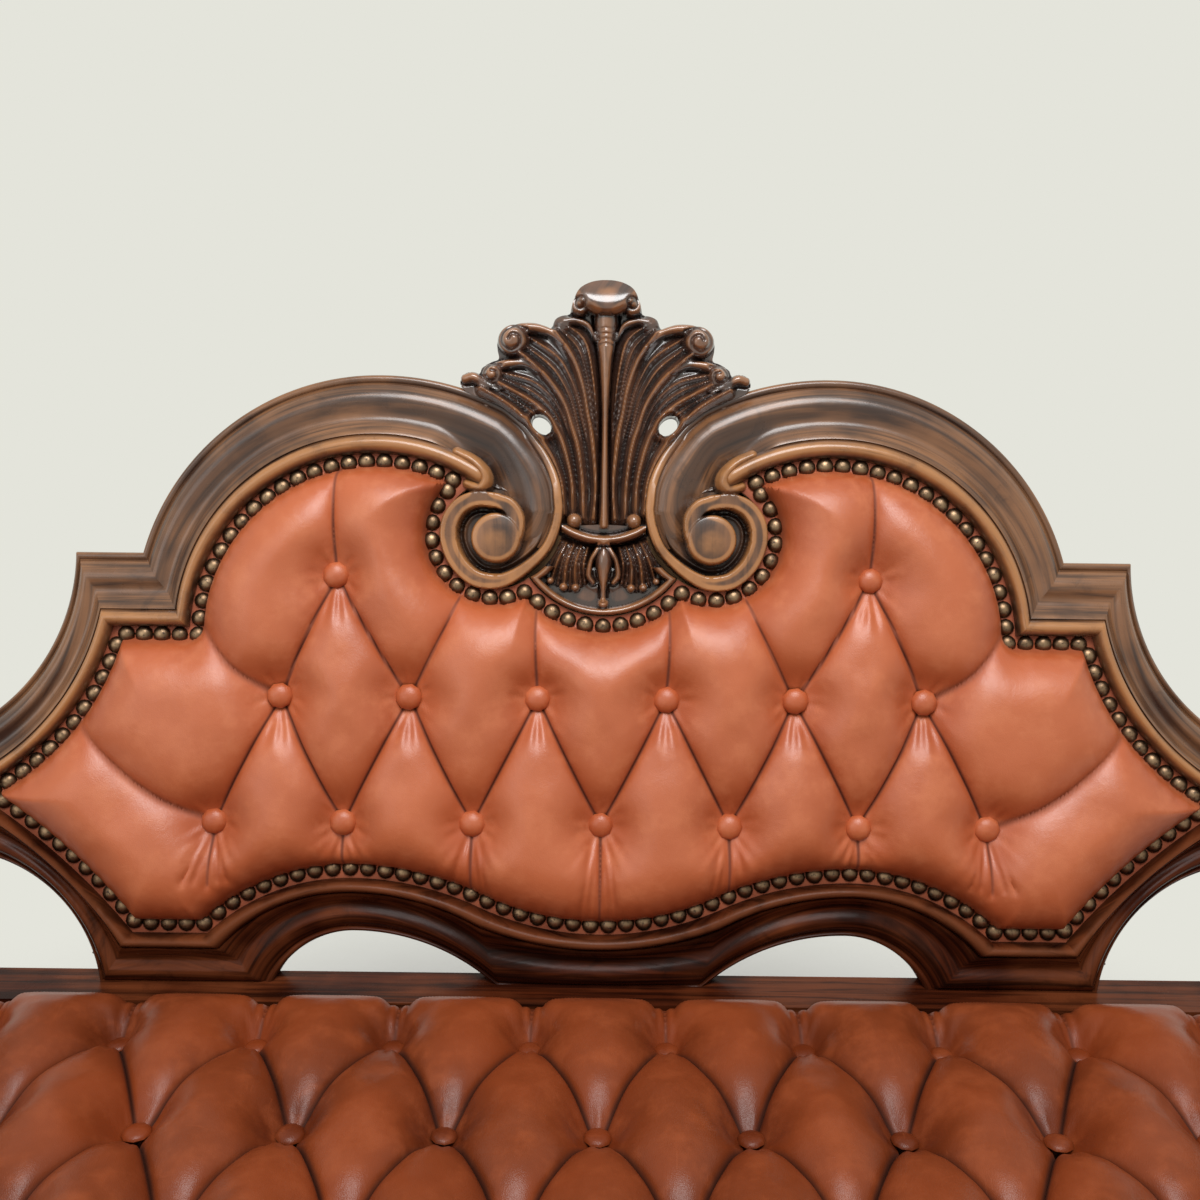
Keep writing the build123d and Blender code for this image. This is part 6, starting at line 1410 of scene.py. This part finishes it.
# Arm pads: a crowned cushion with skirts down both faces of the arm
pad = {"rear": -105.0, "front": -395.0, "half": 27.6, "inner": 25.1, "crown": 27.0, "skirt": 13.0,
       "ends": 30.0, "lengthSteps": 90, "acrossSteps": 26, "middle": 602.0, "edge": 3.0, "endRise": 1.5,
       # shine: the pad's share of the crown's lighter tone, rubbed wear with a painted sheen
       "seatOn": 0.4, "nailPitch": 14.0, "gather": 0.7, "shine": 0.6,
       # top of the arm: depth and height at its rear, middle and front
       "armTop": ((30.0, 598.0), (-231.0, 580.0), (-462.0, 593.0)), "armSteps": 200}
armCurve = arcPoints(*pad["armTop"], pad["armSteps"])


def padRing(y, across):
    # The pad's section at one place along the arm: over the crown, and round under the skirts.
    base = float(np.interp(-y, -armCurve[:, 0], armCurve[:, 1]))
    rim = min(pad["rear"] - y, y - pad["front"])
    swell = float(dome(np.array((rim + pad["endRise"]) / pad["ends"])))
    crown = np.sqrt(np.clip(1 - np.abs(across) ** 2.6, 0, 1))
    top = pad["edge"] + (pad["crown"] - pad["edge"]) * swell * crown
    pinch = pad["gather"] * math.sin(y / pad["nailPitch"] * 2 * math.pi) * np.abs(across) ** 4
    half, inner, low, seatOn = pad["half"], pad["inner"], base - pad["skirt"], base + pad["seatOn"]
    over = [(x * half, base + t - dent) for x, t, dent in zip(across, top, pinch)]
    return [(-half, low)] + over + [(half, low), (inner, low), (inner, seatOn), (-inner, seatOn),
                                    (-inner, low)]


def padMesh(name, side):
    across = np.linspace(-1, 1, pad["acrossSteps"])
    ys = np.linspace(pad["rear"], pad["front"], pad["lengthSteps"])
    rings = np.array([[(pad["middle"] * side + x, y, z) for x, z in padRing(y, across)] for y in ys])
    count, size = rings.shape[:2]
    verts = onSeat(rings[..., 0], rings[..., 1], rings[..., 2]).reshape(-1, 3)
    flat = np.zeros(len(verts))
    # A steady crown share: rubbed wear with a painted sheen
    values = {"crown": flat + pad["shine"], "creaseShade": flat}
    return closed(meshFrom(name, verts, tubeFaces(count, size), verts[:, :2], values))


for side, sign in (("right", 1), ("left", -1)):
    armPad = padMesh("armPad" + side.title(), sign)
    place(armPad, backHide, "leather", "arm_pad_" + side)

# Front flange of the seat leather, nailed to the front rail
flangeValues = {"low": (-622.0, -592.6, 335.0), "high": (622.0, -590.1, 362.0), "steps": 90, "wave": 0.6,
                "shine": 0.3}
flangeRings = []
for i, x in enumerate(np.linspace(flangeValues["low"][0], flangeValues["high"][0], flangeValues["steps"])):
    front, rear, top = flangeValues["low"][1], flangeValues["high"][1], flangeValues["high"][2]
    foot = flangeValues["low"][2] + flangeValues["wave"] * math.sin(i * 1.3)
    flangeRings.append([(x, front, foot), (x, front, top), (x, rear, top), (x, rear, foot)])
flangeVerts = np.array(flangeRings).reshape(-1, 3)
# Crown share for the lighter tone: rubbed wear with a painted sheen
flangeShine = {"crown": np.full(len(flangeVerts), flangeValues["shine"]),
               "creaseShade": np.zeros(len(flangeVerts))}
flange = meshFrom("seatFlange", onSeat(*flangeVerts.T), tubeFaces(flangeValues["steps"], 4),
                  flangeVerts[:, :2] * millimetre, flangeShine)
place(closed(flange), seatHide, "leather")

# Sheets under the seat and over the back board
for node, name in (("dust_cover", "dustCover"), ("outside_back", "outsideBack")):
    cover = linked(name, nodes[node].data.copy())
    work = bmesh.new()
    work.from_mesh(cover.data)
    bmesh.ops.remove_doubles(work, verts=work.verts, dist=1e-6)
    work.to_mesh(cover.data)
    work.free()
    low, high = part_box(node)
    place(cover, blackCloth, "stuffing", node)
    "rear_rail" if node == "dust_cover" else "back_board"
print("pads, flange and covers made")

# Nails and buttons: one small shape set on points by Geometry Nodes

fittings = {
    # sizes of the head, spread of sizes, length over pin and head, height of the CAD head, depth it is sunk
    "nail": {"radius": 6.9, "rise": 5.0, "rings": 4, "sides": 12, "pleats": 0.0, "spread": 0.04,
             "length": 11.0, "head": 4.6, "sink": 0.0},
    "button": {"radius": 9.9, "rise": 6.0, "rings": 5, "sides": 18, "pleats": 0.03, "spread": 0.05,
               "length": 13.0, "head": 6.0, "sink": 0.0},
    "seatButton": {"radius": 9.2, "rise": 4.2, "rings": 5, "sides": 18, "pleats": 0.03, "spread": 0.05,
                   "length": 13.0, "head": 6.0, "sink": 2.6},
    "tilt": 0.10, "sharpAngle": 60.0,
}


def domeShape(kind):
    values = fittings[kind]
    radius, rise, rings, sides = (values[key] for key in ("radius", "rise", "rings", "sides"))
    verts, faces, tops = [(0.0, 0.0, rise)], [], [1.0]
    for r in range(1, rings + 1):
        share = r / rings
        fall = share * math.pi / 2
        for k in range(sides):
            turn = 2 * math.pi * k / sides
            reach = radius * math.sin(fall) * (1 + values["pleats"] * math.cos(turn * sides / 2) * share)
            verts.append((reach * math.cos(turn), reach * math.sin(turn), rise * math.cos(fall)))
            tops.append(1 - share)
    for k in range(sides):
        faces.append((0, 1 + k, 1 + (k + 1) % sides))
        for r in range(rings - 1):
            a, b = 1 + r * sides + k, 1 + r * sides + (k + 1) % sides
            faces.append((a, a + sides, b + sides, b))
    faces.append(tuple(1 + (rings - 1) * sides + k for k in reversed(range(sides))))
    return meshFrom(kind + "Shape", np.array(verts) * millimetre, faces, None, {"dome": tops})


def setOnPoints(name, places, facings, shape, material, spread, seed):
    source = bpy.data.meshes.new(name + "Points")
    source.from_pydata([tuple(q) for q in places], [], [])
    ways = source.attributes.new("facing", "FLOAT_VECTOR", "POINT")
    ways.data.foreach_set("vector", np.array(facings, np.float32).ravel())
    holder = linked(name + "Points", source)
    tree = bpy.data.node_groups.new(name + "Tree", "GeometryNodeTree")
    tree.interface.new_socket("Geometry", in_out="INPUT", socket_type="NodeSocketGeometry")
    settings = {}
    for label, kind, value in (("Shape", "Object", shape), ("Size spread", "Float", spread),
                               ("Tilt", "Float", fittings["tilt"]), ("Seed", "Int", seed)):
        socket = tree.interface.new_socket(label, in_out="INPUT", socket_type="NodeSocket" + kind)
        settings[socket.identifier] = value
    tree.interface.new_socket("Geometry", in_out="OUTPUT", socket_type="NodeSocketGeometry")
    start, end = tree.nodes.new("NodeGroupInput"), tree.nodes.new("NodeGroupOutput")
    points, item, loose, tilt, draw = (Field(tree, socket) for socket in start.outputs[:5])
    field = Field(tree)
    instance = field.make("GeometryNodeObjectInfo", {"Object": item, "As Instance": True}, output="Geometry")
    facing = field.make("GeometryNodeInputNamedAttribute", {"Name": "facing"}, data_type="FLOAT_VECTOR")
    aligned = field.make("FunctionNodeAlignRotationToVector", {"Vector": facing}, axis="Z")
    sizes = field.make("FunctionNodeRandomValue", {2: 1.0 - loose, 3: 1.0 + loose, "Seed": draw}, output=1)
    tilts = field.make("FunctionNodeRandomValue", {0: tilt * -1.0, 1: tilt, "Seed": draw},
                       data_type="FLOAT_VECTOR")
    tones = field.make("FunctionNodeRandomValue", {"Seed": draw}, output=1)
    rotation = field.make("FunctionNodeRotateRotation", {"Rotation": aligned, "Rotate By": tilts},
                          rotation_space="LOCAL")
    heads = field.make("GeometryNodeInstanceOnPoints", {"Points": points, "Instance": instance,
                                                        "Rotation": rotation, "Scale": sizes})
    heads = field.make("GeometryNodeStoreNamedAttribute", {"Geometry": heads, "Name": "each", "Value": tones},
                       data_type="FLOAT", domain="INSTANCE")
    heads = field.make("GeometryNodeRealizeInstances", {0: heads})
    heads = field.make("GeometryNodeSetMaterial", {"Geometry": heads, "Material": material})
    tree.links.new(heads.socket, end.inputs[0])
    modifier = holder.modifiers.new(name, "NODES")
    modifier.node_group = tree
    for identifier, value in settings.items():
        modifier[identifier] = value
    bpy.context.view_layer.update()
    graph = bpy.context.evaluated_depsgraph_get()
    mesh = bpy.data.meshes.new_from_object(holder.evaluated_get(graph), depsgraph=graph)
    mesh.name = name
    holder.modifiers.clear()
    bpy.data.objects.remove(holder)
    mesh.shade_smooth()
    mesh.set_sharp_from_angle(angle=math.radians(fittings["sharpAngle"]))
    return linked(name, mesh)


panelFacing = np.array([0.0, -math.cos(panelRake), math.sin(panelRake)])
shapes = {kind: domeShape(kind) for kind in ("nail", "button", "seatButton")}


def awayFromArm(centre):
    # Nails on the two faces of an arm look away from the arm's middle.
    middle = pad["middle"] * millimetre
    return (float(np.sign(abs(centre[0]) - middle) * np.sign(centre[0])), 0.0, 0.0)


def setFittings(name, node, kind, material, slotName, seed, facing=None):
    # Heads on the solids of a CAD node. A solid's centre is the middle of head and pin together.
    values = fittings[kind]
    centres = islandCentres(node)
    facings = [awayFromArm(c) if facing is None else facing for c in centres]
    lift = ((values["length"] - values["head"]) / 2 - values["sink"]) * millimetre
    places = [c + np.asarray(f) * lift for c, f in zip(centres, facings)]
    heads = setOnPoints(name, places, facings, shapes[kind], material, values["spread"], seed)
    place(heads, material, slotName, node)


setFittings("backNails", "back_nails", "nail", bronze, "nail_brass", 3, panelFacing)
setFittings("seatNails", "seat_nails", "nail", bronze, "nail_brass", 5, (0, -1, 0))
setFittings("armNails", "arm_nails", "nail", bronze, "nail_brass", 7)
setFittings("backButtons", "back_buttons", "button", buttonHide, "leather", 11, panelFacing)
setFittings("seatButtons", "seat_buttons", "seatButton", seatButtonHide, "leather", 13, (0, 0, 1))
for shape in shapes.values():
    bpy.data.objects.remove(shape)
print("nails and buttons set")

# Finishes on the pieces shown as built in CAD
dressing = [
    (woodAlongX, ["ledge_board"]),
    (railAlongX, ["front_rail", "rear_rail", "joint_dowels"]),
    (woodAlongY, ["arm_right", "arm_left", "side_rail_right", "side_rail_left"]),
    (woodAlongZ, ["back_post_right", "back_post_left", "front_leg_right", "front_leg_left", "arm_stump_right",
                  "arm_stump_left"]),
    (beech, ["seat_brace", "seat_cleats", "corner_blocks", "back_board", "tack_strip"]),
    (steel, ["board_screws", "block_screws", "seat_springs", "spring_clips", "leg_glides"]),
]
for finish, dressedNodes in dressing:
    for node in dressedNodes:
        nodes[node].data.materials.clear()
        nodes[node].data.materials.append(finish)

# Floor, light and camera
stageValues = {
    # floor: two tones, half its width, and where it fades out
    "floorTone": (232, 231, 226), "floorLight": (238, 237, 233), "floorHalf": 3.0, "floorFade": (0.8, 1.4),
    "worldTone": (228, 228, 219), "worldStrength": 0.36, "lightTarget": (0, 0.2, 0.6),
    "keyPower": 62.0, "keySize": 1.6, "keyPlace": (0.1, -1.15, 2.75),
    "fillPower": 9.0, "fillSize": 1.8, "fillPlace": (-1.6, -1.7, 1.5),
    "cameraPlace": (-0.0024, -0.637, 0.938), "pitch": 12.6, "roll": 0.65, "lens": 36.0, "sensor": 36.0,
}
half = stageValues["floorHalf"]
floorMesh = bpy.data.meshes.new("floor")
floorMesh.from_pydata([(-half, -half, 0), (half, -half, 0), (half, half, 0), (-half, half, 0)], [],
                      [(0, 1, 2, 3)])
floor = linked("floor", floorMesh)
floorPaint = plainMaterial("floorPaint", stageValues["floorTone"], stageValues["floorLight"], 3.0, 0.7)
floorTree = floorPaint.node_tree
floorField = Field(floorTree)
floorPlace = floorField.make("ShaderNodeTexCoord", output="Object")
away = floorField.make("ShaderNodeVectorMath", {0: floorPlace}, output="Value", operation="LENGTH")
clear = floorField.make("ShaderNodeBsdfTransparent")
painted = Field(floorTree, nodeOf(floorTree, "BSDF_PRINCIPLED").outputs[0])
mixed = floorField.make("ShaderNodeMixShader",
                        {0: away.between(*stageValues["floorFade"]), 1: painted, 2: clear})
floorTree.links.new(mixed.socket, nodeOf(floorTree, "OUTPUT_MATERIAL").inputs["Surface"])
floor.data.materials.append(floorPaint)

# The background is pale where it is seen, mirrored or seen through, and gives weak white light otherwise
world = bpy.data.worlds.new("studio")
bpy.context.scene.world = world
world.use_nodes = True
worldField = Field(world.node_tree)
background = nodeOf(world.node_tree, "BACKGROUND")
seen = worldField.make("ShaderNodeLightPath", output="Is Camera Ray")
for ray in ("Is Glossy Ray", "Is Transmission Ray"):
    seen = seen.does("ADD", worldField.make("ShaderNodeLightPath", output=ray), clamp=True)
tone = seen.blend((1.0, 1.0, 1.0, 1.0), rgb(*stageValues["worldTone"]))
world.node_tree.links.new(tone.socket, background.inputs["Color"])
strength = seen * (1.0 - stageValues["worldStrength"]) + stageValues["worldStrength"]
world.node_tree.links.new(strength.socket, background.inputs["Strength"])


def softLight(kind):
    data = bpy.data.lights.new(kind + "Light", "AREA")
    data.energy = stageValues[kind + "Power"]
    data.shape = "DISK"
    data.size = stageValues[kind + "Size"]
    light = linked(kind + "Light", data)
    light.location = stageValues[kind + "Place"]
    way = Vector(stageValues["lightTarget"]) - Vector(stageValues[kind + "Place"])
    light.rotation_euler = way.to_track_quat("-Z", "Y").to_euler()


softLight("key")
softLight("fill")

camera = linked("camera", bpy.data.cameras.new("camera"))
camera.data.lens = stageValues["lens"]
camera.data.sensor_width = stageValues["sensor"]
tilt = Matrix.Rotation(math.radians(90.0 - stageValues["pitch"]), 4, "X")
roll = Matrix.Rotation(math.radians(stageValues["roll"]), 4, "Z")
camera.matrix_world = Matrix.Translation(stageValues["cameraPlace"]) @ tilt @ roll
bpy.context.scene.camera = camera
bpy.context.scene.view_settings.view_transform = "Standard"

print("scene ready")
